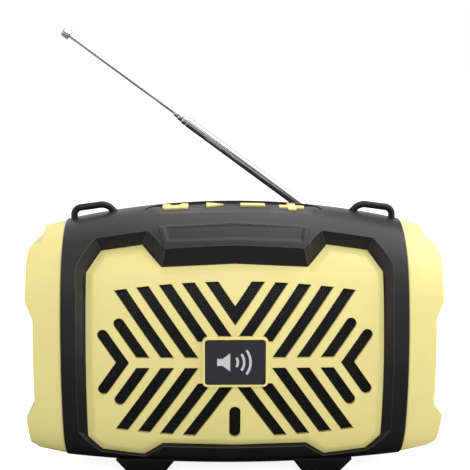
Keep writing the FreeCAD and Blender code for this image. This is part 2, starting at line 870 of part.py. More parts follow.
def make_front_shell():
    drop = size("panel_drop")
    back_of_baffle = size("baffle_thickness") - size("baffle_face")
    half_space = box_between((-FAR, FAR), (-FAR, size("parting_depth")), (-FAR, FAR))
    shell = BODY.cut(CAVITY).common(half_space)

    frame_outline = widened(PANEL_RIM, even_moves(size("frame_margin")))
    core = prism(frame_outline, -FAR, back_of_baffle).common(BODY)
    ledge = prism(frame_outline, -FAR, -size("frame_rear")).common(BODY)
    ledge = ledge.cut(barrel(SEAT_INSET + size("ledge_thickness"), -SEAM, SEAM, drop))
    behind_baffle = box_between((-FAR, FAR), (back_of_baffle, size("parting_depth")), (-FAR, FAR))
    posts = []
    for x, z in post_places():
        post = Part.makeCylinder(size("post_radius"), 2 * FAR, vec(x, -FAR, z), Y_AXIS)
        posts.append(post.common(behind_baffle).common(BODY))
    brow_points = both_sides([
        (0.0, size("brow_low")),
        (size("brow_low_reach"), size("brow_low") - size("brow_bow")),
        (size("brow_top_reach"), size("brow_top") - 2 * size("brow_bow")),
        (0.0, size("brow_top")),
    ])
    brow = prism(brow_points, -FAR, -size("brow_back"))
    brow = brow.common(barrel(-size("brow_rise"), -SEAM, SEAM)).cut(barrel(WALL / 2, -SEAM, SEAM))
    block_reach = size("control_block_reach")
    block_front = -size("plate_front") - WALL
    block_rear = size("control_rear") + WALL
    under = box_between((-block_reach, block_reach), (block_front, block_rear),
                        (-size("control_block_depth"), FAR))
    under = in_control_frame(under).common(BODY)
    bosses = []
    for side in (-1, 1):
        foot = vec(side * size("key_screw_reach"), -size("key_screw_row"), -size("key_board_drop"))
        boss = Part.makeCylinder(size("key_boss_radius"), size("key_board_drop") - size("plate_depth"), foot)
        bosses.append(in_control_frame(boss))
    shell = shell.multiFuse([core, ledge, brow, under] + posts + bosses)

    outer_rim = widened(PANEL_RIM, edge_moves(
        size("bevel_chin"), size("bevel_chin"), size("bevel_chin"), size("bevel_chin"), size("bevel_side"),
        size("bevel_lobe") - 1, size("bevel_lobe"), size("bevel_slant"), size("bevel_brow")))
    plug = bevelled_plug(PANEL_RIM, size("panel_edge_inset"), outer_rim, 0.0, 0.0)
    recess = plug.cut(barrel(SEAT_INSET, -SEAM, SEAM, drop))
    opening = prism(widened(PANEL_RIM, even_moves(-size("ledge_width"))), -FAR, -size("baffle_face"))
    straight = prism(PANEL_RIM, -FAR, 0).cut(barrel(SEAT_INSET, -SEAM, SEAM, drop))
    straight = straight.common(barrel(size("panel_edge_inset"), -SEAM, SEAM, drop))
    shell = shell.cut(recess).cut(straight).cut(opening)

    lean = size("brow_field_lean")
    field = prism(both_sides([
        (0.0, size("brow_field_low")),
        (size("brow_field_reach") - lean, size("brow_field_low") - size("brow_bow")),
        (size("brow_field_reach") + lean, size("brow_field_top") - size("brow_bow")),
        (0.0, size("brow_field_top")),
    ]), -FAR, -size("brow_back"))
    shell = shell.cut(field.cut(barrel(size("brow_field_depth") - size("brow_rise"), -SEAM, SEAM)))
    for side in (-1, 1):
        start = vec(side * size("driver_reach"), -size("baffle_face") - WALL, size("driver_height"))
        shell = shell.cut(Part.makeCylinder(size("driver_opening"), 4 * WALL, start, Y_AXIS))

    reach = size("control_reach")
    recess_top = box_between((-reach, reach), (-FAR / 2, FAR / 2), (-size("control_block_depth"), FAR / 4))
    recess_top = recess_top.cut(control_cylinder()).common(control_rear_wall(0))
    window_reach = size("control_window_reach")
    window_front = size("control_ledge") - size("plate_front")
    window = box_between((-window_reach, window_reach), (window_front, FAR / 2),
                         (-2 * size("key_board_drop"), size("key_rise")))
    window = window.common(control_rear_wall(0))
    for tool in (recess_top, plate_blank(size("plate_gap")), window):
        shell = shell.cut(in_control_frame(tool))
    for side in (-1, 1):
        foot = vec(side * size("key_screw_reach"), -size("key_screw_row"), -size("key_board_drop"))
        bore = Part.makeCylinder(size("small_screw_radius"), size("key_screw_bore"), foot)
        shell = shell.cut(in_control_frame(bore))
    bore_depth = size("case_screw_bite") + size("bore_spare")
    for x, z in post_places():
        start = vec(x, size("parting_depth") - bore_depth, z)
        shell = shell.cut(Part.makeCylinder(size("screw_radius"), bore_depth, start, Y_AXIS))
    for loop in (strap_loop_solid(), mirrored(strap_loop_solid())):
        shell = shell.cut(loop)
    for bore in cap_screw_bores():
        shell = shell.cut(bore)
    for bore in driver_screw_bores():
        shell = shell.cut(bore)
    return shell


def plate_blank(gap):
    """The control panel's plate in its own frame, grown all round by a gap."""
    reach = size("plate_reach") + gap
    front = -size("plate_front") - gap
    blank = box_between((-reach, reach), (front, FAR / 2), (-size("plate_depth"), FAR / 4))
    return blank.common(control_cylinder()).common(control_rear_wall(size("plate_gap") - gap))


def strap_loop_solid():
    """The left strap loop: the bar, ended a short peg below the roof."""
    return strap_loop_rod(0.0).cut(barrel(size("loop_peg"), -SEAM, SEAM))


def cap_screw_places():
    """Depth and height of the four screws that hold one end cap."""
    places = []
    for depth in (-size("cap_screw_depth"), size("cap_screw_depth")):
        for height in (size("cap_screw_low"), size("cap_screw_high")):
            places.append((depth, height))
    return places


def cap_screw_bores():
    bores = []
    for y, z in cap_screw_places():
        for side in (-1, 1):
            bores.append(Part.makeCylinder(size("screw_radius"), 2 * WALL,
                                           vec(side * (SEAM + WALL / 2), y, z), vec(-side, 0, 0)))
    return bores


def driver_screw_places():
    """Four screws on each driver's flange, on the diagonals."""
    reach = (size("driver_radius") - size("driver_screw_margin")) / math.sqrt(2)
    return [
        (side * size("driver_reach") + across * reach, size("driver_height") + up * reach)
        for side in (-1, 1) for across in (-1, 1) for up in (-1, 1)
    ]


def driver_screw_bores():
    depth = size("baffle_thickness") - size("driver_bore_floor")
    back = size("baffle_thickness") - size("baffle_face")
    bores = []
    for x, z in driver_screw_places():
        start = vec(x, back - depth, z)
        bores.append(Part.makeCylinder(size("small_screw_radius"), depth, start, Y_AXIS))
    return bores


keep_shape("front_shell", make_front_shell())


# Rear shell: the black back, with the antenna's pocket and groove, the port recess and the supports

PORT_HEIGHT = size("board_top") + size("charge_height") / 2
MIDDLE_CELLS = (size("lower_cell_height") + size("upper_cell_height")) / 2
SCREW_SEAT = size("parting_depth") + size("case_screw_seat")  # where the case screws' heads bear
BOARD_SCREW_REACH = size("board_reach") - size("board_screw_margin")
HOLDER_SCREW_REACH = size("holder_reach") - size("holder_screw_margin")


def make_rear_shell():
    half_space = box_between((-FAR, FAR), (size("parting_depth"), FAR), (-FAR, FAR))
    shell = BODY.cut(CAVITY).common(half_space)
    x = size("antenna_reach")
    y = size("antenna_depth")
    z = size("antenna_pivot")
    trough_radius = size("groove_radius") + size("groove_wall")
    trough = Part.makeCylinder(trough_radius, size("groove_reach") + x, vec(-size("groove_reach"), y, z),
                               X_AXIS)
    boss = Part.makeCylinder(size("swivel_boss_radius"), FAR, vec(x, y, size("swivel_boss_floor")), Z_AXIS)
    extras = [trough, boss]
    for px, pz in post_places():
        extras.append(Part.makeCylinder(size("post_radius"), FAR, vec(px, size("parting_depth"), pz), Y_AXIS))
    block_depth = size("port_block_depth")
    reach = size("port_panel_reach") + size("port_block_margin")
    rise = size("port_panel_half_height") + size("port_block_margin")
    extras.append(box_between((-reach, reach), (block_depth, FAR), (PORT_HEIGHT - rise, PORT_HEIGHT + rise)))
    lug_top = size("board_top") - size("board_thickness")
    lug_floor = lug_top - size("board_lug_height")
    for side in (-1, 1):
        outer = side * size("board_reach")
        inner = side * (size("board_reach") - size("board_lug_width"))
        lug = sorted((inner, outer))
        extras.append(box_between(lug, (size("board_lug_front"), FAR), (lug_floor, lug_top)))
        foot = vec(side * HOLDER_SCREW_REACH, size("holder_rear"), MIDDLE_CELLS)
        extras.append(Part.makeCylinder(size("holder_post_radius"), FAR, foot, Y_AXIS))
    inside = [piece.common(BODY).common(half_space) for piece in extras]
    shell = shell.multiFuse(inside)

    groove = Part.makeCylinder(size("groove_radius"), FAR, vec(x, y, z), vec(-1, 0, 0))
    above = box_between((x - FAR, x), (y - size("groove_radius"), y + size("groove_radius")), (z, FAR))
    pocket = Part.makeCylinder(size("swivel_pocket_radius"), FAR, vec(x, y, size("swivel_pocket_floor")),
                               Z_AXIS)
    socket_bore = Part.makeCylinder(size("socket_radius"), FAR, vec(x, y, size("swivel_boss_floor") - 1),
                                    Z_AXIS)
    cuts = [groove, above, pocket, socket_bore]
    gap = size("port_panel_gap")
    floor = size("port_panel_face") - size("port_panel_thickness")
    cuts.append(rounded_plate(size("port_panel_reach") + gap, size("port_panel_half_height") + gap, floor,
                              FAR, size("port_corner")))
    cuts += port_openings(size("port_block_depth") - size("port_block_margin"), FAR)
    for px, pz in post_places():
        start = vec(px, size("parting_depth") - 1, pz)
        cuts.append(Part.makeCylinder(size("screw_radius") + size("post_bore_gap"), FAR, start, Y_AXIS))
        seat = vec(px, SCREW_SEAT, pz)
        cuts.append(Part.makeCylinder(size("screw_head_radius") + size("head_gap"), FAR, seat, Y_AXIS))
    for side in (-1, 1):
        under_board = vec(side * BOARD_SCREW_REACH, size("board_screw_depth"), lug_floor)
        cuts.append(Part.makeCylinder(size("small_screw_radius"), 2 * size("board_lug_height"), under_board))
        behind_cells = vec(side * HOLDER_SCREW_REACH, size("holder_rear"), MIDDLE_CELLS)
        cuts.append(Part.makeCylinder(size("small_screw_radius"), size("holder_screw_bore"), behind_cells,
                                      Y_AXIS))
    for tool in cuts + cap_screw_bores():
        shell = shell.cut(tool)
    return shell


def rounded_plate(reach, rise, front, rear, corner):
    """A plate across Y with rounded corners, centred on the ports' height."""
    blank = Part.makeBox(2 * reach, rear - front, 2 * rise, vec(-reach, front, PORT_HEIGHT - rise))
    upright = [edge for edge in blank.Edges if abs(edge.Vertexes[0].Y - edge.Vertexes[1].Y) > 1e-6]
    return blank.makeFillet(corner, upright)


def flat_slot(place, width, height, front, rear, axis_height):
    """An opening with half-round ends."""
    radius = height / 2
    straight = width / 2 - radius
    pieces = [box_between((place - straight, place + straight), (front, rear),
                          (axis_height - radius, axis_height + radius))]
    for side in (-1, 1):
        pieces.append(Part.makeCylinder(radius, rear - front,
                                        vec(place + side * straight, front, axis_height), Y_AXIS))
    return pieces[0].multiFuse(pieces[1:])


def port_openings(front, rear):
    """What the rear wall and the port panel leave open for each socket."""
    jack_height = size("board_top") + size("jack_radius")
    card_height = size("board_top") + size("card_height") / 2
    grown = 2 * size("socket_gap")
    made = [flat_slot(-size("charge_place"), size("charge_width") + grown, size("charge_height") + grown,
                      front, rear, PORT_HEIGHT)]
    made.append(flat_slot(size("card_place"), size("card_width") + grown, size("card_height") + grown,
                          front, rear, card_height))
    made.append(Part.makeCylinder(size("jack_radius") + size("pin_gap"), rear - front,
                                  vec(size("jack_place"), front, jack_height), Y_AXIS))
    half = (size("power_travel") + size("power_nub_width")) / 2 + size("power_slot_gap")
    rise = size("power_slot_rise")
    made.append(box_between((-size("power_place") - half, -size("power_place") + half), (front, rear),
                            (PORT_HEIGHT - rise, PORT_HEIGHT + rise)))
    made.append(Part.makeCylinder(size("light_radius") + size("pin_gap"), rear - front,
                                  vec(-size("light_place"), front, PORT_HEIGHT), Y_AXIS))
    return made


keep_shape("rear_shell", make_rear_shell())


# End caps: yellow cups with a scooped upper corner and a waist along each side

def cap_profile():
    """The right cap's outline in front view, as a closed wire in the X-Z plane."""
    nib = vec(size("cap_nib_reach"), 0, size("cap_nib_height"))
    scoop = vec(size("cap_scoop_reach"), 0, size("cap_scoop_low"))
    scoop_middle = (nib + scoop) * 0.5 - vec(size("cap_scoop_bow"), 0, size("cap_scoop_bow"))
    shoulder = vec(size("cap_bulge_reach"), 0, size("cap_bulge_top"))
    shoulder_middle = (scoop + shoulder) * 0.5 + vec(size("cap_bulge_bow"), 0, size("cap_bulge_bow"))
    points = [shoulder] + [vec(size(reach), 0, size(height)) for reach, height in (
        ("cap_bulge_reach", "cap_bulge_low"), ("cap_waist_reach", "cap_waist_top"),
        ("cap_waist_reach", "cap_waist_low"), ("end_reach", "cap_lower_bulge"),
        ("cap_heel_reach", "cap_heel_height"), ("cap_chin_reach", "cap_chin_height"))]
    chin = points[-1]
    points += [vec(chin.x - size("cap_chin_step"), 0, 0), vec(SEAM, 0, 0), vec(SEAM, 0, FAR)]
    points += [vec(nib.x, 0, FAR), nib]
    edges = [Part.Arc(nib, scoop_middle, scoop).toShape(),
             Part.Arc(scoop, shoulder_middle, shoulder).toShape()]
    edges += [Part.LineSegment(points[k], points[k + 1]).toShape() for k in range(len(points) - 1)]
    return Part.Wire(edges)


def cap_blank(inset):
    """The right cap's solid outer form, moved inwards by an inset."""
    face = Part.Face(cap_profile())
    if inset:
        face = Part.Face(face.OuterWire.makeOffset2D(-inset))
    face.translate(vec(0, -FAR / 2, 0))
    outer_inset = inset + size("cap_sink")
    form = face.extrude(vec(0, FAR, 0)).common(barrel(outer_inset, SEAM, size("end_reach") + 1))
    reach = size("end_reach") + 0.5 - inset
    corner = size("cap_plan_corner")
    depth = size("front_reach") - crown(size("plan_crown_radius"), size("end_reach")) - outer_inset
    rear = size("rear_reach") - crown(size("plan_crown_radius"), size("end_reach")) - outer_inset
    plan = Part.makeBox(reach, depth + rear, FAR, vec(0, -depth, 0))
    upright = [e for e in plan.Edges if abs(e.Vertexes[0].Z - e.Vertexes[1].Z) > 1 and e.Vertexes[0].X > 1]
    plan = plan.makeFillet(corner - inset, upright)
    near = box_between((0, size("end_reach") - corner), (-FAR, FAR), (0, FAR))
    return form.common(plan.fuse(near))


def make_cap():
    cap = cap_blank(0.0).cut(cap_blank(size("cap_wall")))
    solid = cap_blank(0.0)
    for y, z in cap_screw_places():
        post = Part.makeCylinder(size("cap_post_radius"), FAR, vec(SEAM, y, z), X_AXIS).common(solid)
        cap = cap.fuse(post)
    bore_depth = size("cap_screw_bite") + size("bore_spare")
    for y, z in cap_screw_places():
        cap = cap.cut(Part.makeCylinder(size("screw_radius"), bore_depth, vec(SEAM, y, z), X_AXIS))
    return cap


RIGHT_CAP = make_cap()
keep_shape("left_end_cap", mirrored(RIGHT_CAP))
keep_shape("right_end_cap", RIGHT_CAP)


# Grille: the yellow panel with its slots, the steel mesh behind it, and the badge on it

def make_grille_panel():
    drop = size("panel_drop")
    rim = widened(PANEL_RIM, even_moves(-size("panel_gap")))
    face_rim = widened(rim, even_moves(-size("panel_edge_slope")))
    blank = prism(rim, -FAR, 0).common(barrel(size("panel_face_inset"), -SEAM, SEAM, drop))
    blank = blank.cut(barrel(PANEL_BACK, -SEAM, SEAM, drop))
    plug = bevelled_plug(rim, size("panel_edge_inset"), face_rim, size("panel_face_inset"), drop)
    blank = blank.common(plug)
    half = size("badge_ring_width") / 2
    rise = size("badge_ring_height") / 2
    middle = size("badge_middle")
    raised = box_between((-half, half), (-size("badge_ring_face"), -size("badge_ring_back")),
                         (middle - rise, middle + rise))
    along = [edge for edge in raised.Edges if abs(edge.Vertexes[0].Y - edge.Vertexes[1].Y) > 1e-6]
    raised = raised.makeFillet(size("badge_ring_corner"), along)
    panel = blank.cut(slot_cutters()).fuse(raised)
    wide = size("badge_width") / 2 + size("badge_gap")
    tall = size("badge_height") / 2 + size("badge_gap")
    floor = size("badge_face") - size("badge_thickness")
    return panel.cut(box_between((-wide, wide), (-FAR, -floor), (middle - tall, middle + tall)))


keep_shape("grille_panel", make_grille_panel())


def make_grille_mesh():
    drop = size("panel_drop")
    rim = widened(PANEL_RIM, even_moves(-size("panel_gap")))
    sheet_solid = prism(rim, -FAR, 0).common(barrel(PANEL_BACK, -SEAM, SEAM, drop))
    return sheet_solid.cut(barrel(SEAT_INSET, -SEAM, SEAM, drop))


keep_shape("grille_mesh", make_grille_mesh())

badge = new_body("BadgePlate")
badge_sketch = sketch_on(badge, "XZ_Plane", "BadgeOutline", "badge_face - badge_thickness")
outline(badge_sketch, [
    ("-badge_width / 2", "badge_middle - badge_height / 2"),
    ("badge_width / 2", "badge_middle - badge_height / 2"),
    ("badge_width / 2", "badge_middle + badge_height / 2"),
    ("-badge_width / 2", "badge_middle + badge_height / 2")])
badge_pad = padded(badge, badge_sketch, "badge_thickness")
doc.recompute()
badge_edges = [
    f"Edge{k + 1}" for k, edge in enumerate(badge_pad.Shape.Edges)
    if abs(edge.Vertexes[0].Y - edge.Vertexes[1].Y) > 0.1
]
badge_round = badge.newObject("PartDesign::Fillet", "BadgeCorners")
badge_round.Base = (badge_pad, badge_edges)
badge_round.setExpression("Radius", formula("badge_corner"))
keep("badge_plate", badge)


def make_badge_symbol():
    """A loudspeaker sign: a horn and three arcs of sound, raised a little over the plate."""
    middle = size("badge_middle")
    face = -size("badge_face")
    rise = size("sign_rise")
    back = -size("sign_back_reach")
    throat = -size("sign_throat_reach")
    mouth = -size("sign_mouth_reach")
    narrow = size("sign_throat_rise")
    wide = size("sign_mouth_rise")
    horn = prism([(back, middle - narrow), (throat, middle - narrow), (mouth, middle - wide),
                  (mouth, middle + wide), (throat, middle + narrow), (back, middle + narrow)],
                 face - rise, face)
    waves = []
    pivot = vec(mouth, face - rise, middle)
    for k in range(3):
        radius = size("sign_wave_first") + k * size("sign_wave_pitch")
        hoop = Part.makeCylinder(radius + size("sign_wave_half"), rise, pivot, Y_AXIS)
        hoop = hoop.cut(Part.makeCylinder(radius - size("sign_wave_half"), rise, pivot, Y_AXIS))
        reach = radius + 2 * size("sign_wave_half")
        spread = size("sign_wave_slope") * reach
        wedge = prism([(mouth, middle), (mouth + reach, middle - spread), (mouth + 2 * reach, middle),
                       (mouth + reach, middle + spread)], face - rise, face)
        waves.append(hoop.common(wedge))
    return Part.makeCompound([horn] + waves)


keep_shape("badge_symbol", make_badge_symbol())


# Control panel: a crowned black plate in the roof, four keys, and the key board under them

KEY_BOTTOM = "(-plate_depth - key_slack)"


def key_height(alias):
    """How high a key stands in the panel's frame, following the crown of the plate."""
    return f"(key_rise - {alias} * {alias} / (2 * control_crown))"


def key_outlines():
    """Each key's outline in the control panel's frame, as pairs of expressions."""
    play = ("-play_key_place", "-key_row")
    minus = ("minus_key_place", "-key_row")
    plus = ("plus_key_place", "-plus_key_row")
    call = ("-call_key_place", "-call_key_row")

    def around(centre, offsets):
        return [(f"{centre[0]} + {x}", f"{centre[1]} + {y}") for x, y in offsets]

    wide = "call_key_width"
    deep = "call_key_depth"
    cut = "call_key_chamfer"
    notch = f"{deep} / 2 - call_key_notch"
    bar = "key_bar"
    return {
        "call_key": (call, wide, deep, around(call, [
            (f"{cut} - {wide} / 2", f"-{deep} / 2"), (f"{wide} / 2 - {cut}", f"-{deep} / 2"),
            (f"{wide} / 2", f"{cut} - {deep} / 2"), (f"{wide} / 2", f"{deep} / 2"),
            ("call_key_notch_half", f"{deep} / 2"), ("call_key_notch_floor", notch),
            ("-call_key_notch_floor", notch), ("-call_key_notch_half", f"{deep} / 2"),
            (f"-{wide} / 2", f"{deep} / 2"), (f"-{wide} / 2", f"{cut} - {deep} / 2")])),
        "play_key": (play, "play_key_width", "play_key_depth", around(play, [
            ("-play_key_width / 2", "-play_key_depth / 2"), ("play_key_width / 2", "0"),
            ("-play_key_width / 2", "play_key_depth / 2")])),
        "minus_key": (minus, "minus_key_width", bar, around(minus, [
            ("-minus_key_width / 2", f"-{bar} / 2"), ("minus_key_width / 2", f"-{bar} / 2"),
            ("minus_key_width / 2", f"{bar} / 2"), ("-minus_key_width / 2", f"{bar} / 2")])),
        "plus_key": (plus, "plus_key_width", "plus_key_depth", around(plus, [
            (f"-{bar} / 2", "-plus_key_depth / 2"), (f"{bar} / 2", "-plus_key_depth / 2"),
            (f"{bar} / 2", f"-{bar} / 2"),
            ("plus_key_width / 2", f"-{bar} / 2"), ("plus_key_width / 2", f"{bar} / 2"),
            (f"{bar} / 2", f"{bar} / 2"),
            (f"{bar} / 2", "plus_key_depth / 2"), (f"-{bar} / 2", "plus_key_depth / 2"),
            (f"-{bar} / 2", f"{bar} / 2"),
            ("-plus_key_width / 2", f"{bar} / 2"), ("-plus_key_width / 2", f"-{bar} / 2"),
            (f"-{bar} / 2", f"-{bar} / 2")])),
    }


KEY_PLACE = {"call_key": "call_key_place", "play_key": "play_key_place",
             "minus_key": "minus_key_place", "plus_key": "plus_key_place"}


def control_placed(made):
    """Puts a body that is drawn in the control panel's frame on the roof."""
    return place(made, "0", "0", "control_height", X_AXIS, "control_tilt")


plate = plate_blank(0.0)
for label, (centre, wide, deep, corners) in key_outlines().items():
    points = [(worth(x), worth(y)) for x, y in corners]
    grown = widened(points, [size("key_gap")] * len(points))
    rim = Part.makePolygon([vec(x, y, -FAR / 2) for x, y in grown + grown[:1]])
    plate = plate.cut(Part.Face(rim).extrude(vec(0, 0, FAR)))
keep_shape("control_panel", in_control_frame(plate))

for label, (centre, wide, deep, corners) in key_outlines().items():
    title = label.title().replace("_", "")
    key = new_body(title)
    cap_sketch = sketch_on(key, "XY_Plane", title + "Top", KEY_BOTTOM)
    outline(cap_sketch, corners)
    padded(key, cap_sketch, f"{key_height(KEY_PLACE[label])} - {KEY_BOTTOM}")
    flange_sketch = sketch_on(key, "XY_Plane", title + "Flange", f"{KEY_BOTTOM} - key_flange")
    across = f"({wide} / 2 + key_flange_side)"
    along = f"({deep} / 2 + key_flange_end)"
    outline(flange_sketch, [
        (f"{centre[0]} - {across}", f"{centre[1]} - {along}"),
        (f"{centre[0]} + {across}", f"{centre[1]} - {along}"),
        (f"{centre[0]} + {across}", f"{centre[1]} + {along}"),
        (f"{centre[0]} - {across}", f"{centre[1]} + {along}")])
    padded(key, flange_sketch, "key_flange")
    stem_sketch = sketch_on(key, "XY_Plane", title + "Stem", "-key_stem_drop")
    ring(stem_sketch, "key_stem_radius", *centre)
    padded(key, stem_sketch, f"key_stem_drop + {KEY_BOTTOM} - key_flange / 2")
    control_placed(key)
    keep(label, key)

key_board = new_body("KeyBoard")
board_sketch = sketch_on(key_board, "XY_Plane", "KeyBoardOutline", "-key_board_drop - key_board_thickness")
outline(board_sketch, [
    ("-key_board_reach", "-key_board_front"), ("key_board_reach", "-key_board_front"),
    ("key_board_reach", "key_board_rear"), ("-key_board_reach", "key_board_rear")])
padded(key_board, board_sketch, "key_board_thickness")
board_holes = sketch_on(key_board, "XY_Plane", "KeyBoardHoles", "-key_board_drop")
ring(board_holes, "small_screw_radius + screw_gap", "key_screw_reach", "-key_screw_row")
ring(board_holes, "small_screw_radius + screw_gap", "-key_screw_reach", "-key_screw_row")
pocketed(key_board, board_holes, "key_board_thickness")
keep("key_board", control_placed(key_board))


def make_key_switches():
    """Four tact switches on the key board, each a square case with a round plunger."""
    made = []
    side = size("key_switch_side")
    floor = -size("key_board_drop")
    for centre, wide, deep, corners in key_outlines().values():
        x = worth(centre[0])
        y = worth(centre[1])
        case = Part.makeBox(side, side, size("key_switch_height"), vec(x - side / 2, y - side / 2, floor))
        plunger = Part.makeCylinder(size("key_plunger_radius"),
                                    size("key_switch_height") + size("key_plunger_height"), vec(x, y, floor))
        made.append(in_control_frame(case.fuse(plunger)))
    return Part.makeCompound(made)


keep_shape("key_switches", make_key_switches())


# Strap loops: bent black bars at both ends of the roof

keep_shape("left_strap_loop", strap_loop_solid())
keep_shape("right_strap_loop", mirrored(strap_loop_solid()))


# Feet: two rubber runners, flared where they meet the barrel

def make_foot():
    """The right runner: a flared block whose top follows the barrel."""
    low = [(size("foot_inner"), -size("foot_front")), (size("foot_outer"), -size("foot_front")),
           (size("foot_outer"), size("foot_rear")), (size("foot_inner"), size("foot_rear"))]
    side = size("foot_flare_side")
    front = size("foot_flare_front")
    rear = size("foot_flare_rear")
    high = [(low[0][0] - side, low[0][1] - front), (low[1][0] + side, low[1][1] - front),
            (low[2][0] + side, low[2][1] + rear), (low[3][0] - side, low[3][1] + rear)]
    wires = []
    for points, z in ((low, 0.0), (high, size("foot_height"))):
        wires.append(Part.makePolygon([vec(x, y, z) for x, y in points + points[:1]]))
    return Part.makeLoft(wires, True, True).cut(BODY)


RIGHT_FOOT = make_foot()
keep_shape("left_foot", mirrored(RIGHT_FOOT))
keep_shape("right_foot", RIGHT_FOOT)


# Antenna: a socket in the rear shell, a swivelling fork, and a telescopic mast on a hinge pin

socket = turned("AntennaSocket", [
    ("swivel_neck_radius + running_gap", "swivel_boss_floor"), ("socket_radius", "swivel_boss_floor"),
    ("socket_radius", "swivel_pocket_floor"), ("swivel_neck_radius + running_gap", "swivel_pocket_floor")])
keep("antenna_socket", place(socket, "antenna_reach", "antenna_depth", "0"))

FORK_FLOOR = "(swivel_pocket_floor + 0.3)"
swivel = turned("AntennaSwivel", [
    ("0", "swivel_boss_floor"), ("swivel_neck_radius", "swivel_boss_floor"),
    ("swivel_neck_radius", FORK_FLOOR),
    ("swivel_radius", FORK_FLOOR), ("swivel_radius", "antenna_pivot + tongue_radius"),
    ("swivel_radius - 0.8", "antenna_pivot + tongue_radius + 0.8"),
    ("0", "antenna_pivot + tongue_radius + 0.8")])
fork_sketch = sketch_on(swivel, "YZ_Plane", "ForkGap", "-swivel_radius - 1")
outline(fork_sketch, [
    ("-fork_gap / 2", "antenna_pivot - tongue_radius - 0.4"),
    ("fork_gap / 2", "antenna_pivot - tongue_radius - 0.4"),
    ("fork_gap / 2", "antenna_pivot + tongue_radius + 2"),
    ("-fork_gap / 2", "antenna_pivot + tongue_radius + 2")])
pocketed(swivel, fork_sketch, "2 * swivel_radius + 2", upwards=True)
pin_sketch = sketch_on(swivel, "XZ_Plane", "PinBore")
ring(pin_sketch, "pin_radius", "0", "antenna_pivot")
pocketed(swivel, pin_sketch, "4 * swivel_radius", both_ways=True)
screw_sketch = sketch_on(swivel, "XY_Plane", "NeckBore", "swivel_boss_floor")
ring(screw_sketch, "screw_radius")
pocketed(swivel, screw_sketch, "6", upwards=True)
keep("antenna_swivel", place(swivel, "antenna_reach", "antenna_depth", "0"))

antenna_screw = turned("AntennaScrew", [
    ("0", "swivel_boss_floor - 0.3 - screw_head_height"),
    ("socket_radius - 1", "swivel_boss_floor - 0.3 - screw_head_height"),
    ("socket_radius - 1", "swivel_boss_floor - 0.3"),
    ("swivel_neck_radius", "swivel_boss_floor - 0.3"), ("swivel_neck_radius", "swivel_boss_floor"),
    ("screw_radius", "swivel_boss_floor"), ("screw_radius", "swivel_boss_floor + 5.5"),
    ("0", "swivel_boss_floor + 5.5")])
keep("antenna_screw", place(antenna_screw, "antenna_reach", "antenna_depth", "0"))

hinge_pin = rod("HingePin", "pin_radius",
                ("antenna_reach", "antenna_depth - swivel_radius + 0.2", "antenna_pivot"),
                "2 * swivel_radius - 0.4", "Y")
keep("antenna_hinge_pin", hinge_pin)


def on_mast(made):
    """Puts a body drawn upright from the hinge on the leaning mast."""
    return place(made, "antenna_reach", "antenna_depth", "antenna_pivot", Y_AXIS, "antenna_lean - 90")


tongue = new_body("AntennaTongue")
tongue_sketch = sketch_on(tongue, "XZ_Plane", "TongueOutline")
ring(tongue_sketch, "tongue_radius")
padded(tongue, tongue_sketch, "tongue_thickness", both_ways=True)
neck_sketch = sketch_on(tongue, "XZ_Plane", "TongueNeck")
outline(neck_sketch, [
    ("-tongue_radius * 0.7", "0"), ("tongue_radius * 0.7", "0"),
    ("tongue_radius * 0.7", "antenna_tube_start + 1"), ("-tongue_radius * 0.7", "antenna_tube_start + 1")])
padded(tongue, neck_sketch, "tongue_thickness", both_ways=True)
shank_sketch = sketch_on(tongue, "XY_Plane", "TongueShank", "antenna_tube_start")
ring(shank_sketch, "antenna_tube_radius - antenna_wall")
padded(tongue, shank_sketch, "2.5")
hole_sketch = sketch_on(tongue, "XZ_Plane", "TongueHole")
ring(hole_sketch, "pin_radius + running_gap / 2")
pocketed(tongue, hole_sketch, "4 * tongue_thickness", both_ways=True)
keep("antenna_tongue", on_mast(tongue))

MAST_TUBES = (
    ("antenna_outer_tube", "antenna_tube_radius", "antenna_tube_start", "antenna_tube_end",
     "antenna_middle_radius"),
    ("antenna_middle_tube", "antenna_middle_radius", "antenna_tube_start + 3.5", "antenna_middle_end",
     "antenna_inner_radius"),
    ("antenna_inner_tube", "antenna_inner_radius", "antenna_tube_start + 4.5", "antenna_inner_end",
     "antenna_rod_radius"),
)
for label, radius, start, end, next_radius in MAST_TUBES:
    bore = f"({radius} - antenna_wall)"
    neck = f"({next_radius} + antenna_slide_gap)"
    tube = turned(label.title().replace("_", ""), [
        (bore, start), (radius, start), (radius, f"{end} - 0.8"), (f"{radius} - 0.3", end),
        (neck, end), (neck, f"{end} - 1.6"), (bore, f"{end} - 1.6")])
    keep(label, on_mast(tube))

tip_rod = turned("AntennaTipRod", [
    ("0", "antenna_rod_start"), ("antenna_rod_radius", "antenna_rod_start"),
    ("antenna_rod_radius", "antenna_tip - antenna_knob_length"),
    ("antenna_rod_radius * 0.7", "antenna_tip - antenna_knob_length"),
    ("antenna_rod_radius * 0.7", "antenna_tip - 1.2"), ("0", "antenna_tip - 1.2")])
keep("antenna_tip_rod", on_mast(tip_rod))

knob = turned("AntennaKnob", [
    ("antenna_rod_radius * 0.7", "antenna_tip - antenna_knob_length"),
    ("antenna_knob_radius * 0.8", "antenna_tip - antenna_knob_length"),
    ("antenna_knob_radius", "antenna_tip - antenna_knob_length + 0.6"),
    ("antenna_knob_radius", "antenna_tip - 1.0"),
    ("antenna_knob_radius * 0.75", "antenna_tip"), ("0", "antenna_tip"), ("0", "antenna_tip - 1.2"),
    ("antenna_rod_radius * 0.7", "antenna_tip - 1.2")])
keep("antenna_knob", on_mast(knob))


# Drivers: two round speakers behind the baffle

def on_driver(made, side):
    """Turns a body drawn about Z so that it looks forwards, on one side of the middle."""
    depth = "baffle_thickness - baffle_face"
    return place(made, f"{side} * driver_reach", depth, "driver_height", X_AXIS, "-90")


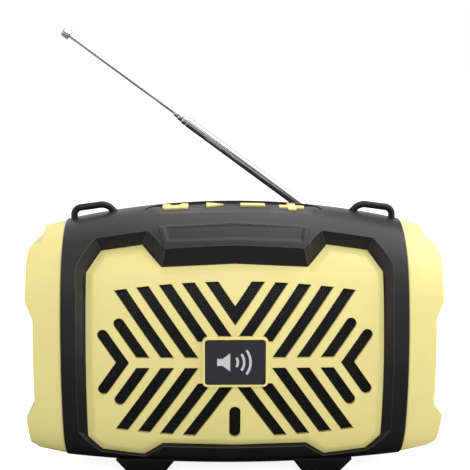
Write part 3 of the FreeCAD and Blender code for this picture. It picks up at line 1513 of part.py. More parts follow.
FLANGE = "(driver_gasket + driver_flange)"
BASKET = "(driver_gasket + driver_basket_depth)"
SCREW_REACH = "((driver_radius - driver_screw_margin) / sqrt(2))"


def screw_holes(body, name):
    """Four holes through a driver's rim, on the diagonals."""
    doc.recompute()
    holes = sketch_on(body, "XY_Plane", name + "Holes")
    for across in ("-", ""):
        for up in ("-", ""):
            ring(holes, "small_screw_radius + screw_gap", across + SCREW_REACH, up + SCREW_REACH)
    pocketed(body, holes, "2 * driver_basket_depth", both_ways=True)


for side, word in ((-1, "left"), (1, "right")):
    title = word.title()
    gasket = turned(title + "DriverGasket", [
        ("driver_opening + 0.3", "0"), ("driver_radius", "0"),
        ("driver_radius", "driver_gasket"), ("driver_opening + 0.3", "driver_gasket")])
    screw_holes(gasket, title + "DriverGasket")
    keep(word + "_driver_gasket", on_driver(gasket, side))

    frame = turned(title + "DriverFrame", [
        ("cone_radius + 4.4", "driver_gasket"), ("driver_radius", "driver_gasket"),
        ("driver_radius", FLANGE),
        ("cone_radius + 5.2", FLANGE), ("driver_magnet_radius", f"{BASKET}"),
        ("coil_radius + 1.4", f"{BASKET}"),
        ("coil_radius + 1.4", f"{BASKET} - 1.4"), ("driver_magnet_radius - 0.6", f"{BASKET} - 1.4"),
        ("cone_radius + 4.2", f"{FLANGE} + 0.2"), ("cone_radius + 4.2", "driver_gasket + 0.6"),
        ("cone_radius + 4.4", "driver_gasket + 0.6")])
    doc.recompute()
    vents = sketch_on(frame, "XY_Plane", title + "BasketVent", f"{FLANGE} + 1")
    outline(vents, [
        ("coil_radius + 4", "-4"), ("driver_radius - 3.5", "-7"), ("driver_radius - 3.5", "7"),
        ("coil_radius + 4", "4")])
    vent = pocketed(frame, vents, f"{BASKET} - {FLANGE} - 3.2", upwards=True)
    vent_ring = frame.newObject("PartDesign::PolarPattern", title + "BasketVents")
    vent_ring.Originals = [vent]
    vent_ring.Axis = (vents, ["N_Axis"])
    vent_ring.Angle = 360
    vent_ring.Occurrences = 4
    frame.Tip = vent_ring
    screw_holes(frame, title + "DriverFrame")
    keep(word + "_driver_frame", on_driver(frame, side))

    surround = turned(title + "DriverSurround", [
        ("cone_radius - 1", "driver_gasket - 0.6"), ("cone_radius + 0.6", "driver_gasket - 0.6"),
        ("cone_radius + 1.4", "driver_gasket - 2.0"), ("cone_radius + 2.4", "driver_gasket - 2.0"),
        ("cone_radius + 3.4", "driver_gasket"), ("cone_radius + 4.3", "driver_gasket"),
        ("cone_radius + 4.3", "driver_gasket + 0.5"),
        ("cone_radius + 2.9", "driver_gasket + 0.5"), ("cone_radius + 2.1", "driver_gasket - 1.4"),
        ("cone_radius + 1.7", "driver_gasket - 1.4"), ("cone_radius + 0.8", "driver_gasket"),
        ("cone_radius - 1", "driver_gasket")])
    keep(word + "_driver_surround", on_driver(surround, side))

    cone = turned(title + "DriverCone", [
        ("cone_radius - 1", "driver_gasket"), ("cone_radius + 0.4", "driver_gasket"),
        ("cone_radius + 0.2", "driver_gasket + cone_thickness"),
        ("coil_radius", "driver_gasket + cone_depth + cone_thickness"),
        ("coil_radius", "driver_gasket + cone_depth + 8"),
        ("coil_radius - 0.5", "driver_gasket + cone_depth + 8"),
        ("coil_radius - 0.5", "driver_gasket + cone_depth"),
        ("coil_radius * 0.6", "driver_gasket + cone_depth - 1.6"),
        ("0", "driver_gasket + cone_depth - 2.4"), ("0", "driver_gasket + cone_depth - 3.1"),
        ("coil_radius * 0.6", "driver_gasket + cone_depth - 2.3"),
        ("coil_radius", "driver_gasket + cone_depth - 0.2")])
    keep(word + "_driver_cone", on_driver(cone, side))

    magnet = turned(title + "DriverMagnet", [
        ("0", f"{BASKET} + driver_magnet_depth"),
        ("driver_magnet_radius", f"{BASKET} + driver_magnet_depth"),
        ("driver_magnet_radius", BASKET), ("coil_radius + 1", BASKET),
        ("coil_radius + 1", f"{BASKET} + driver_magnet_depth - 4"),
        ("coil_radius - 1.4", f"{BASKET} + driver_magnet_depth - 4"), ("coil_radius - 1.4", BASKET),
        ("0", BASKET)])
    keep(word + "_driver_magnet", on_driver(magnet, side))


# Main board, radio module, battery and holder

main_board = new_body("MainBoard")
main_sketch = sketch_on(main_board, "XY_Plane", "MainBoardOutline", "board_top - board_thickness")
outline(main_sketch, [("-board_reach", "board_front"), ("board_reach", "board_front"),
                      ("board_reach", "board_rear"), ("-board_reach", "board_rear")])
padded(main_board, main_sketch, "board_thickness")
main_holes = sketch_on(main_board, "XY_Plane", "MainBoardHoles", "board_top")
for side in ("-", ""):
    ring(main_holes, "small_screw_radius + screw_gap", f"{side}(board_reach - board_screw_margin)",
         "board_screw_depth")
pocketed(main_board, main_holes, "board_thickness")
keep("main_board", main_board)

keep("radio_shield", block("RadioShield", ("-board_reach + 6", "-board_reach + 24"),
                           ("board_front + 1", "board_front + 14"),
                           ("board_top", "board_top + 2.2")))

cells = {}
for word, height in (("lower", "lower_cell_height"), ("upper", "upper_cell_height")):
    cell = turned(word.title() + "BatteryCell", [
        ("0", "0"), ("cell_radius - 0.6", "0"), ("cell_radius", "0.6"),
        ("cell_radius", "cell_length - 1.6"),
        ("cell_radius - 0.6", "cell_length - 1"), ("3", "cell_length - 1"), ("3", "cell_length"),
        ("0", "cell_length")])
    place(cell, "-cell_length / 2", "cell_depth", height, Y_AXIS, "90")
    keep(word + "_battery_cell", cell)


def make_battery_holder():
    """A cradle behind the two cells, with an end wall at each side, clear of the rear shell's corner."""
    reach = size("holder_reach")
    gap = size("cell_gap")
    low = size("lower_cell_height") - size("cell_radius") - 1.5
    high = size("upper_cell_height") + size("cell_radius") + 1.5
    body = box_between((-reach, reach), (size("cell_depth"), size("holder_rear")), (low, high))
    for height in (size("lower_cell_height"), size("upper_cell_height")):
        space = Part.makeCylinder(size("cell_radius") + gap, size("cell_length") + 0.6,
                                  vec(-size("cell_length") / 2 - 0.3, size("cell_depth"), height), X_AXIS)
        body = body.cut(space)
    body = body.common(barrel(WALL + 0.4, -SEAM + 5, SEAM - 5))
    seat = size("holder_rear") - size("holder_screw_depth")
    for side in (-1, 1):
        for radius, end in ((size("small_screw_radius") + size("screw_gap"), size("holder_rear") + 1),
                            (size("small_head_radius") + size("screw_gap"), seat)):
            start = vec(side * HOLDER_SCREW_REACH, 0, MIDDLE_CELLS)
            body = body.cut(Part.makeCylinder(radius, end, start, Y_AXIS))
    return body


keep_shape("battery_holder", make_battery_holder())


# Ports: a black panel in the rear wall, with the sockets, the slide switch and the light behind it

def make_port_panel():
    front = size("port_panel_face") - size("port_panel_thickness")
    made = rounded_plate(size("port_panel_reach"), size("port_panel_half_height"), front,
                         size("port_panel_face"), size("port_corner") - size("port_panel_gap"))
    for tool in port_openings(front - 1, size("port_panel_face") + 1):
        made = made.cut(tool)
    return made


keep_shape("port_panel", make_port_panel())


def make_charge_socket():
    height = size("board_top") + size("charge_height") / 2
    face = size("port_panel_face") - 0.6
    case = flat_slot(-size("charge_place"), size("charge_width"), size("charge_height"), face - 8, face,
                     height)
    mouth = flat_slot(-size("charge_place"), size("charge_width") - 0.6, size("charge_height") - 0.6,
                      face - 7, face + 1, height)
    blade = box_between((-size("charge_place") - 3.3, -size("charge_place") + 3.3), (face - 7, face - 0.8),
                        (height - 0.35, height + 0.35))
    return case.cut(mouth).fuse(blade)


keep_shape("charge_socket", make_charge_socket())


def make_card_slot():
    height = size("board_top") + size("card_height") / 2
    half = size("card_width") / 2
    place_x = size("card_place")
    face = size("port_panel_face") - 0.6
    case = box_between((place_x - half + 1, place_x + half - 1), (face - 14, face),
                       (height - size("card_height") / 2, height + size("card_height") / 2))
    mouth = box_between((place_x - half + 1.6, place_x + half - 1.6), (face - 12, face + 1),
                        (height - 0.5, height + 0.5))
    return case.cut(mouth)


keep_shape("card_slot", make_card_slot())


def make_audio_jack():
    axis = size("board_top") + size("jack_radius")
    face = size("port_panel_face")
    front = face - size("jack_bore_depth") - 1
    case = box_between((size("jack_place") - 3.2, size("jack_place") + 3.2),
                       (front, size("port_block_depth") - 0.6),
                       (size("board_top"), size("board_top") + 5.4))
    nose = Part.makeCylinder(size("jack_radius"), face - front, vec(size("jack_place"), front, axis),
                             Y_AXIS)
    bore = Part.makeCylinder(size("jack_bore_radius"), size("jack_bore_depth"),
                             vec(size("jack_place"), face - size("jack_bore_depth"), axis), Y_AXIS)
    return case.fuse(nose).cut(bore)


keep_shape("audio_jack", make_audio_jack())


def make_power_case():
    height = size("board_top") + size("charge_height") / 2
    half = size("power_case_width") / 2
    rear = size("port_block_depth") - 0.4
    case = box_between((-size("power_place") - half, -size("power_place") + half), (rear - 5, rear),
                       (size("board_top"), size("board_top") + size("power_case_height")))
    track = box_between((-size("power_place") - half + 0.8, -size("power_place") + half - 0.8),
                        (rear - 3, rear + 1), (height - 0.8, height + 0.8))
    return case.cut(track)


keep_shape("power_switch_case", make_power_case())


def make_power_slider():
    """The slider in its off place, at the outer end of its travel."""
    height = size("board_top") + size("charge_height") / 2
    rear = size("port_block_depth") - 0.4
    start = -size("power_place") - size("power_travel") / 2
    foot = box_between((start - 1.5, start + 1.5), (rear - 2.7, rear - 0.3), (height - 0.7, height + 0.7))
    nub = box_between((start - 1.3, start + 1.3), (rear - 0.8, size("port_panel_face") + 0.1),
                      (height - 1.0, height + 1.0))
    nub = nub.cut(box_between((start - 1.5, start + 1.5), (rear - 3, rear + 0.1),
                              (height + 0.7, height + 2)))
    nub = nub.cut(box_between((start - 1.5, start + 1.5), (rear - 3, rear + 0.1),
                              (height - 2, height - 0.7)))
    return foot.fuse(nub)


keep_shape("power_switch_slider", make_power_slider())

status_light = rod("StatusLight", "light_radius",
                   ("-light_place", "port_panel_face - 6", "board_top + charge_height / 2"), "5.9", "Y")
light_stand = block("LightStand", ("-light_place - 1.2", "-light_place + 1.2"),
                    ("port_panel_face - 6.5", "port_panel_face - 4.5"),
                    ("board_top", "board_top + charge_height / 2 + 1.2"))
keep("status_light", joined("StatusLightBody", [status_light, light_stand]))


# Fasteners

def screw(head_radius, head_height, radius, length):
    """A pan-head screw along +Z with its head's underside at the origin, and a crossed drive."""
    head = Part.makeCylinder(head_radius, head_height, vec(0, 0, -head_height), Z_AXIS)
    shank = Part.makeCylinder(radius, length, FreeCAD.Vector(), Z_AXIS)
    arm = head_radius * 0.55
    slot = head_radius * 0.14
    cross = Part.makeBox(2 * arm, 2 * slot, head_height / 2, vec(-arm, -slot, -head_height))
    other = Part.makeBox(2 * slot, 2 * arm, head_height / 2, vec(-slot, -arm, -head_height))
    return head.fuse(shank).cut(cross).cut(other)


def put(shape, point, way):
    """Places a copy of a shape drawn along Z at a point, pointing along a way."""
    made = shape.copy()
    made.Placement = FreeCAD.Placement(point, FreeCAD.Rotation(Z_AXIS, way))
    return made


case_screw = screw(size("screw_head_radius"), size("screw_head_height"), size("screw_radius"),
                   size("case_screw_seat") + size("case_screw_bite"))
case_screws = [put(case_screw, vec(x, SCREW_SEAT, z), -Y_AXIS) for x, z in post_places()]
keep_shape("case_screws", Part.makeCompound(case_screws))

cap_screw = screw(size("screw_head_radius"), size("screw_head_height"), size("screw_radius"),
                  WALL + size("cap_screw_bite"))
cap_screws = []
for side in (-1, 1):
    for y, z in cap_screw_places():
        cap_screws.append(put(cap_screw, vec(side * (SEAM - WALL), y, z), X_AXIS * side))
keep_shape("cap_screws", Part.makeCompound(cap_screws))

small_screw = screw(size("small_head_radius"), size("small_head_height"), size("small_screw_radius"),
                    size("small_screw_length"))
driver_back = size("baffle_thickness") - size("baffle_face") + size("driver_gasket") + size("driver_flange")
driver_screws = [put(small_screw, vec(x, driver_back, z), -Y_AXIS) for x, z in driver_screw_places()]
keep_shape("driver_screws", Part.makeCompound(driver_screws))

holder_seat = size("holder_rear") - size("holder_screw_depth")
under_key_board = -size("key_board_drop") - size("key_board_thickness")
board_screws = []
for side in (-1, 1):
    on_board = vec(side * BOARD_SCREW_REACH, size("board_screw_depth"), size("board_top"))
    board_screws.append(put(small_screw, on_board, -Z_AXIS))
    board_screws.append(put(small_screw, vec(side * HOLDER_SCREW_REACH, holder_seat, MIDDLE_CELLS), Y_AXIS))
    upward = vec(side * size("key_screw_reach"), -size("key_screw_row"), under_key_board)
    board_screws.append(in_control_frame(Part.makeCompound([put(small_screw, upward, Z_AXIS)])))
keep_shape("board_screws", Part.makeCompound(board_screws))

# Every sub-part is checked, then written to its own file

doc.recompute()
for made in doc.Objects:
    if "Invalid" in made.State or "Error" in made.State:
        raise RuntimeError(f"{made.Name} failed: {made.State}")
os.makedirs("parts", exist_ok=True)
for made in NODES:
    if made.Shape.isNull() or not made.Shape.isValid():
        raise RuntimeError(f"{made.Label} has no valid shape")
    if not made.Shape.Solids:
        raise RuntimeError(f"{made.Label} has no solid")
    made.Shape.exportStep(f"parts/{made.Label}.step")
    print(f"{made.Label}: {len(made.Shape.Solids)} solids, {made.Shape.Volume / 1000:.2f} cm3")
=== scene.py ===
import math
import bpy
from mathutils import Matrix, Vector


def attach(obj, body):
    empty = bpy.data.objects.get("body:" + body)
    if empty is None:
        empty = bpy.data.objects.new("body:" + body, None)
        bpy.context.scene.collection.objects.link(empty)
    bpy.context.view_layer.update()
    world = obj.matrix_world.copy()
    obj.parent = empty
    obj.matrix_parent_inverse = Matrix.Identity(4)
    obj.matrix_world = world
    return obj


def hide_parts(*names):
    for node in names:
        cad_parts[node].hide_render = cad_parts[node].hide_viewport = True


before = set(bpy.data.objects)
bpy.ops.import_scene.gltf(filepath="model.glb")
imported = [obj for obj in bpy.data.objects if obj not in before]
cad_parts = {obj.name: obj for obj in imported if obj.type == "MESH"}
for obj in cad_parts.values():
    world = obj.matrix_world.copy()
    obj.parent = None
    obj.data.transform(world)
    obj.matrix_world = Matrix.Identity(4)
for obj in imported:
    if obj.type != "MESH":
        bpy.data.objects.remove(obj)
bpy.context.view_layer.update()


# Studio: the speaker stands on a white table, photographed from a little above and left of the middle, with
# a large soft box overhead and softer light from both sides. What shines mirrors two sheets laid under the
# speaker and two screens, one behind the camera and one behind the speaker on the right.

MM = 0.001
CAMERA_PLACE = (-16.5 * MM, -624.5 * MM, 201.5 * MM)
CAMERA_DOWN = 7.7  # degrees below the level
CAMERA_TURN = -0.9  # degrees about the upright axis
TABLE_TONE = 0.8
TABLE_GLOW = 0.88
ROOM_LIGHT = 0.42
LIT_POINT = Vector((0, 0, 0.07))

camera_data = bpy.data.cameras.new("Camera")
camera_data.sensor_width = 36.0
camera_data.lens = 96.9
camera_data.shift_x = 0.0323
camera = bpy.data.objects.new("Camera", camera_data)
camera.location = CAMERA_PLACE
camera.rotation_euler = (math.radians(90 - CAMERA_DOWN), 0, math.radians(CAMERA_TURN))
bpy.context.collection.objects.link(camera)
bpy.context.scene.camera = camera
bpy.context.scene.view_settings.view_transform = "Standard"


def grey(tone):
    """A neutral colour."""
    return (tone, tone, tone, 1)


def shade(nodes, kind, inputs, **settings):
    """A new shader node with its settings, each input a value, another node or one of its outputs."""
    node = nodes.new(kind)
    for name, value in settings.items():
        setattr(node, name, value)
    for name, given in inputs.items():
        if isinstance(given, bpy.types.Node):
            given = given.outputs[0]
        if isinstance(given, bpy.types.NodeSocket):
            nodes.id_data.links.new(given, node.inputs[name])
        else:
            node.inputs[name].default_value = given
    return node


def new_material(name):
    """A material and its nodes, which are still empty."""
    material = bpy.data.materials.new(name)
    material.use_nodes = True
    material.node_tree.nodes.clear()
    return material, material.node_tree.nodes


def new_mesh(operator, **options):
    """The object that a primitive's operator makes, with its rotation applied."""
    bpy.ops.object.select_all(action="DESELECT")
    operator(**options)
    if "rotation" in options:
        bpy.ops.object.transform_apply(rotation=True)
    return bpy.context.object


def see_as_white(nodes):
    """One on rays from the camera, a mirror or glass, and nought where only light falls."""
    rays = nodes.new("ShaderNodeLightPath")
    seen = rays.outputs["Is Camera Ray"]
    for ray in ("Is Glossy Ray", "Is Transmission Ray"):
        seen = shade(nodes, "ShaderNodeMath", {0: seen, 1: rays.outputs[ray]}, operation="MAXIMUM")
    return seen


table_white, nodes = new_material("table_white")
diffuse = shade(nodes, "ShaderNodeBsdfDiffuse", {"Color": grey(TABLE_TONE)})
glow = shade(nodes, "ShaderNodeEmission", {"Color": grey(TABLE_GLOW), "Strength": see_as_white(nodes)})
both = shade(nodes, "ShaderNodeAddShader", {0: diffuse, 1: glow})
shade(nodes, "ShaderNodeOutputMaterial", {"Surface": both})

table = new_mesh(bpy.ops.mesh.primitive_circle_add, vertices=96, radius=40.0, fill_type="NGON")
table.name = "table"
table.data.materials.append(table_white)

# Place, direction faced, width, height and tone of each sheet and screen.
SCREENS = {
    "dark_sheet": ((0, 0, 0.0006), (0, 0, 1), 0.5, 0.5, 0.03),
    "grey_sheet": ((0, 0, 0.0003), (0, 0, 1), 1.8, 1.8, 0.35),
    "rear_screen": ((0.42, 0.66, 0.72), (-0.42, -0.63, -0.55), 0.5, 0.5, 0.08),
    "camera_screen": ((-0.15, -1.3, 0.45), (0, 1, 0), 2.0, 1.4, 0.28),
}
for name, (place, facing, width, height, tone) in SCREENS.items():
    screen_paint, nodes = new_material(name)
    diffuse = shade(nodes, "ShaderNodeBsdfDiffuse", {"Color": grey(tone)})
    shade(nodes, "ShaderNodeOutputMaterial", {"Surface": diffuse})
    screen = new_mesh(
        bpy.ops.mesh.primitive_circle_add, vertices=96, radius=0.5, fill_type="NGON", location=place)
    screen.name = name
    screen.scale = (width, height, 1)
    screen.rotation_euler = Vector(facing).to_track_quat("Z", "Y").to_euler()
    screen.data.materials.append(screen_paint)
    screen.visible_camera = screen.visible_diffuse = False
    screen.visible_shadow = screen.visible_transmission = False

world = bpy.data.worlds.new("Room")
bpy.context.scene.world = world
world.use_nodes = True
nodes = world.node_tree.nodes
nodes.clear()
room_light = shade(nodes, "ShaderNodeBackground", {"Color": grey(1), "Strength": ROOM_LIGHT})
room_seen = shade(nodes, "ShaderNodeBackground", {"Color": grey(1), "Strength": 1.0})
room_mix = shade(nodes, "ShaderNodeMixShader", {"Fac": see_as_white(nodes), 1: room_light, 2: room_seen})
shade(nodes, "ShaderNodeOutputWorld", {"Surface": room_mix})

# Place, width, height and power of each lamp.
SOFT_BOXES = {
    "overhead": ((0.40, 0.12, 0.95), 1.3, 1.2, 10.0),
    "left_side": ((-0.85, -0.30, 0.45), 0.5, 0.8, 0.7),
    "right_side": ((0.85, -0.30, 0.45), 0.5, 0.8, 2.2),
    "front_fill": ((0, -1.1, 0.75), 0.8, 0.5, 3.4),
}
for name, (place, width, height, power) in SOFT_BOXES.items():
    lamp_data = bpy.data.lights.new(name, "AREA")
    lamp_data.shape = "RECTANGLE"
    lamp_data.size = width
    lamp_data.size_y = height
    lamp_data.energy = power
    lamp = bpy.data.objects.new(name, lamp_data)
    lamp.location = place
    aim = LIT_POINT - lamp.location
    lamp.rotation_euler = aim.to_track_quat("-Z", "Y").to_euler()
    bpy.context.collection.objects.link(lamp)


# Front shell: black satin plastic, moulded as the front half of a barrel. A recess with sloped walls
# takes the grille, a raised brow stands over it, and the roof has a crescent cut for the keys.

SEAM = 82.5 * MM  # middle to the seams of the end caps
PARTING = 16.0 * MM  # depth of the plane where front and rear shells meet
WALL = 2.5 * MM
BODY_TOP = 133.8 * MM
BODY_FLOOR = 2.45 * MM
FRONT_REACH = 42.0 * MM
REAR_REACH = 41.0 * MM
ROOF_CROWN = 390.0 * MM
FLOOR_CROWN = 740.0 * MM
PLAN_CROWN = 1200.0 * MM
CAP_ROOF_SLOPE = 0.24  # the end caps' roofs are straighter than the barrel's crown
CAP_FLOOR_SLOPE = 0.10  # and their undersides rise faster than the barrel's
FAR = 0.3  # past every face of the speaker

# Radius and number of points of each arc of the barrel's section, from the roof over the front.
SECTION_ARCS = (
    ("roof", 110.0 * MM, 10), ("brow", 38.0 * MM, 18), ("front", 115.0 * MM, 26), ("chin", 33.0 * MM, 16),
    ("floor", 400.0 * MM, 10), ("rear_low", 30.0 * MM, 14), ("rear", 170.0 * MM, 20),
    ("rear_top", 30.0 * MM, 14),
)
RING = sum(points for _, _, points in SECTION_ARCS)


def fallen(radius, x):
    """How far an arc of this radius has fallen at x."""
    return radius - math.sqrt(radius * radius - x * x)


def corner_centre(one, reach_one, other, reach_other, side):
    """Centre of a corner arc, from its reach to the centres of the arcs beside it."""
    step = other - one
    along = (reach_one ** 2 - reach_other ** 2 + step.length_squared) / (2 * step.length)
    across = math.sqrt(reach_one ** 2 - along ** 2)
    way = step.normalized()
    ends = [one + way * along + Vector((-way.y, way.x)) * across * turn for turn in (1, -1)]
    return max(ends, key=lambda end: end.dot(side))


def section_centres(x):
    """Centres of the section's arcs at x, as (depth, height) by name."""
    radius = {name: size for name, size, _ in SECTION_ARCS}
    top = BODY_TOP - fallen(ROOF_CROWN, min(abs(x), SEAM)) - CAP_ROOF_SLOPE * max(abs(x) - SEAM, 0)
    floor = BODY_FLOOR + fallen(FLOOR_CROWN, x) + CAP_FLOOR_SLOPE * max(abs(x) - SEAM, 0)
    front = -FRONT_REACH + fallen(PLAN_CROWN, x)
    rear = REAR_REACH - fallen(PLAN_CROWN, x)
    middle = (top + floor) / 2
    centre = {
        "roof": Vector((0, top - radius["roof"])), "floor": Vector((0, floor + radius["floor"])),
        "front": Vector((front + radius["front"], middle)), "rear": Vector((rear - radius["rear"], middle)),
    }
    corners = (("brow", "front", "roof", (-1, 1)), ("chin", "front", "floor", (-1, -1)),
               ("rear_top", "rear", "roof", (1, 1)), ("rear_low", "rear", "floor", (1, -1)))
    for name, one, other, side in corners:
        reach_one, reach_other = radius[one] - radius[name], radius[other] - radius[name]
        centre[name] = corner_centre(centre[one], reach_one, centre[other], reach_other, Vector(side))
    return centre, radius


def section(x, inset=0.0, drop=0.0):
    """Points round the barrel at x, moved inwards by the inset and down by the drop."""
    centre, radius = section_centres(x)
    names = [name for name, _, _ in SECTION_ARCS]
    joints = []
    for k, name in enumerate(names):
        way = centre[names[(k + 1) % len(names)]] - centre[name]
        if k % 2:
            way = -way
        joints.append(math.atan2(way.y, way.x) % (2 * math.pi))
    points = []
    for k, (name, _, count) in enumerate(SECTION_ARCS):
        span = (joints[k] - joints[k - 1]) % (2 * math.pi)
        for step in range(count):
            angle = joints[k - 1] + span * step / count
            reach = radius[name] - inset
            across, up = math.cos(angle) * reach, math.sin(angle) * reach
            points.append((centre[name].x + across, centre[name].y + up - drop))
    return points


def front_depth(x, z, inset=0.0, drop=0.0):
    """Depth of the barrel's front face at x and z."""
    centre, radius = section_centres(x)
    height = z + drop
    name = "front"
    for corner, above in (("brow", 1), ("chin", -1)):
        way = (centre[corner] - centre["front"]).normalized()
        limit = centre["front"].y + way.y * (radius["front"] - inset)
        if (height - limit) * above > 0:
            name = corner
    reach = radius[name] - inset
    return centre[name].x - math.sqrt(max(reach * reach - (height - centre[name].y) ** 2, 0.0))


def only_select(obj):
    """Makes obj the one selected and active object."""
    bpy.ops.object.select_all(action="DESELECT")
    obj.select_set(True)
    bpy.context.view_layer.objects.active = obj


def mode(name):
    """Goes into edit mode or leaves it."""
    bpy.ops.object.mode_set(mode=name)


def pick(obj, kind, parts, wanted):
    """Goes into edit mode with the wanted parts of a mesh selected."""
    only_select(obj)
    mode("EDIT")
    bpy.ops.mesh.select_mode(type=kind)
    bpy.ops.mesh.select_all(action="DESELECT")
    mode("OBJECT")
    for part in parts:
        part.select = wanted(part)
    mode("EDIT")


def turned_outwards(obj):
    """Leaves edit mode with all faces looking outwards."""
    bpy.ops.mesh.select_all(action="SELECT")
    bpy.ops.mesh.normals_make_consistent(inside=False)
    mode("OBJECT")
    return obj


def extruded(sheet, move):
    """A solid from a sheet that was just made."""
    mode("EDIT")
    bpy.ops.mesh.select_all(action="SELECT")
    bpy.ops.mesh.extrude_region_move(TRANSFORM_OT_translate={"value": move})
    return turned_outwards(sheet)


def barrel(low, high, inset=0.0, drop=0.0, slices=48):
    """A closed stretch of the barrel: a cylinder whose rings are moved on to the sections."""
    made = new_mesh(
        bpy.ops.mesh.primitive_cylinder_add, vertices=RING, radius=1, depth=1, rotation=(0, math.pi / 2, 0))
    points = made.data.vertices

    def lengthwise(edge):
        return abs(points[edge.vertices[0]].co.x - points[edge.vertices[1]].co.x) > 0.5

    pick(made, "EDGE", made.data.edges, lengthwise)
    bpy.ops.mesh.subdivide(number_cuts=slices - 1)
    mode("OBJECT")
    rings = {}
    for point in made.data.vertices:
        place = round((point.co.x + 0.5) * slices)
        x = low + (high - low) * place / slices
        if place not in rings:
            rings[place] = section(x, inset, drop)
        turn = math.atan2(point.co.z, point.co.y) / (2 * math.pi) * RING
        y, z = rings[place][round(turn) % RING]
        point.co = (x, y, z)
    return made


def prism(outline, front, rear):
    """A solid between two depths over a closed outline of (x, z) points."""
    made = new_mesh(bpy.ops.mesh.primitive_circle_add, vertices=len(outline), fill_type="NGON",
                    rotation=(math.pi / 2, 0, 0))
    for point, (x, z) in zip(made.data.vertices, outline):
        point.co = (x, front, z)
    return extruded(made, (0, rear - front, 0))


def block(x, y, z):
    """A box between pairs of places."""
    centre = [(a + b) / 2 for a, b in (x, y, z)]
    size = (x[1] - x[0], y[1] - y[0], z[1] - z[0])
    made = new_mesh(bpy.ops.mesh.primitive_cube_add, size=1, location=centre, scale=size)
    bpy.ops.object.transform_apply(location=True, scale=True)
    return made


def modified(obj, kind, **settings):
    """Gives obj a modifier with its settings and applies it."""
    only_select(obj)
    change = obj.modifiers.new("Shape", kind)
    for name, value in settings.items():
        setattr(change, name, value)
    bpy.ops.object.modifier_apply(modifier=change.name)
    return obj


def shape_with(obj, tool, how="DIFFERENCE"):
    """Cuts obj with a tool, joins them or keeps what they share, and removes the tool."""
    modified(obj, "BOOLEAN", operation=how, solver="MANIFOLD", object=tool)
    bpy.data.objects.remove(tool)
    return obj


def in_mm(points):
    """Points given in millimetres."""
    return [(x * MM, z * MM) for x, z in points]


def both_sides(*right_half):
    """A closed outline in millimetres from its right half, listed from the bottom up."""
    right = in_mm(right_half)
    return right + [(-x, z) for x, z in reversed(right) if x > 0]


def widened(outline, moves):
    """An outline whose edges are moved outwards, all by one distance or each by its own."""
    if isinstance(moves, float):
        moves = [moves] * len(outline)
    edges = list(zip(outline, outline[1:] + outline[:1]))
    turn = math.copysign(1, sum(x0 * z1 - x1 * z0 for (x0, z0), (x1, z1) in edges))
    lines = []
    for k, ((x0, z0), (x1, z1)) in enumerate(edges):
        length = math.hypot(x1 - x0, z1 - z0)
        normal = (turn * (z1 - z0) / length, -turn * (x1 - x0) / length)
        lines.append((normal, normal[0] * x0 + normal[1] * z0 + moves[k]))
    made = []
    for k, (x, z) in enumerate(outline):
        (a, b), c = lines[k - 1]
        (d, e), f = lines[k]
        cross = a * e - b * d
        if abs(cross) < 0.02:
            made.append((x + a * moves[k], z + b * moves[k]))
        else:
            made.append(((c * e - b * f) / cross, (a * f - c * d) / cross))
    return made


GRILLE_OUTLINE = both_sides(
    (0.0, 17.5), (34.8, 18.5), (44.3, 11.2), (64.4, 14.4), (71.2, 22.6),
    (71.2, 103.0), (64.4, 112.6), (44.3, 115.5), (34.8, 105.8), (0.0, 107.4))
BEVEL_WIDTHS = [width * MM for width in (1.0, 1.0, 1.0, 1.0, 4.0, 5.4, 6.4, 6.6, 7.7)]
RECESS_DROP = 3.5 * MM
RIM_INSET = 4.0 * MM
SEAT_INSET = 5.5 * MM
SIDE_STEPS = 6
LONG_SIDE = 40 * MM  # a side higher than this is divided


def stepped(outline):
    """The outline with its two long sides divided, so that they follow the barrel."""
    made = []
    for (x0, z0), (x1, z1) in zip(outline, outline[1:] + outline[:1]):
        steps = SIDE_STEPS if abs(z1 - z0) > LONG_SIDE else 1
        made += [(x0 + (x1 - x0) * j / steps, z0 + (z1 - z0) * j / steps) for j in range(steps)]
    return made


def recess_plug(inner, outer):
    """A plug through one outline on the recess floor and another on the barrel."""
    inner_ring = [Vector((x, front_depth(x, z, RIM_INSET, RECESS_DROP), z)) for x, z in stepped(inner)]
    outer_ring = [Vector((x, front_depth(x, z), z)) for x, z in stepped(outer)]
    count = len(inner_ring)
    made = new_mesh(
        bpy.ops.mesh.primitive_cylinder_add, vertices=count, radius=1, depth=2, end_fill_type="TRIFAN")
    middle = sum(point.z for point in inner_ring) / count
    for point in made.data.vertices:
        near = point.co.z > 0
        if math.hypot(point.co.x, point.co.y) < 0.5:
            point.co = (0, -0.09, middle) if near else (0, 0, middle)
            continue
        k = round(math.atan2(point.co.y, point.co.x) / (2 * math.pi) * count) % count
        out = (outer_ring[k] - inner_ring[k]) * 0.8
        point.co = outer_ring[k] + out if near else inner_ring[k] - out
    for side, method in ((1, "FIXED"), (-1, "FIXED_ALTERNATE")):
        pick(made, "FACE", made.data.polygons,
             lambda face: len(face.vertices) == 4 and face.center.x * side > 0)
        bpy.ops.mesh.quads_convert_to_tris(quad_method=method)
        mode("OBJECT")
    mode("EDIT")
    return turned_outwards(made)


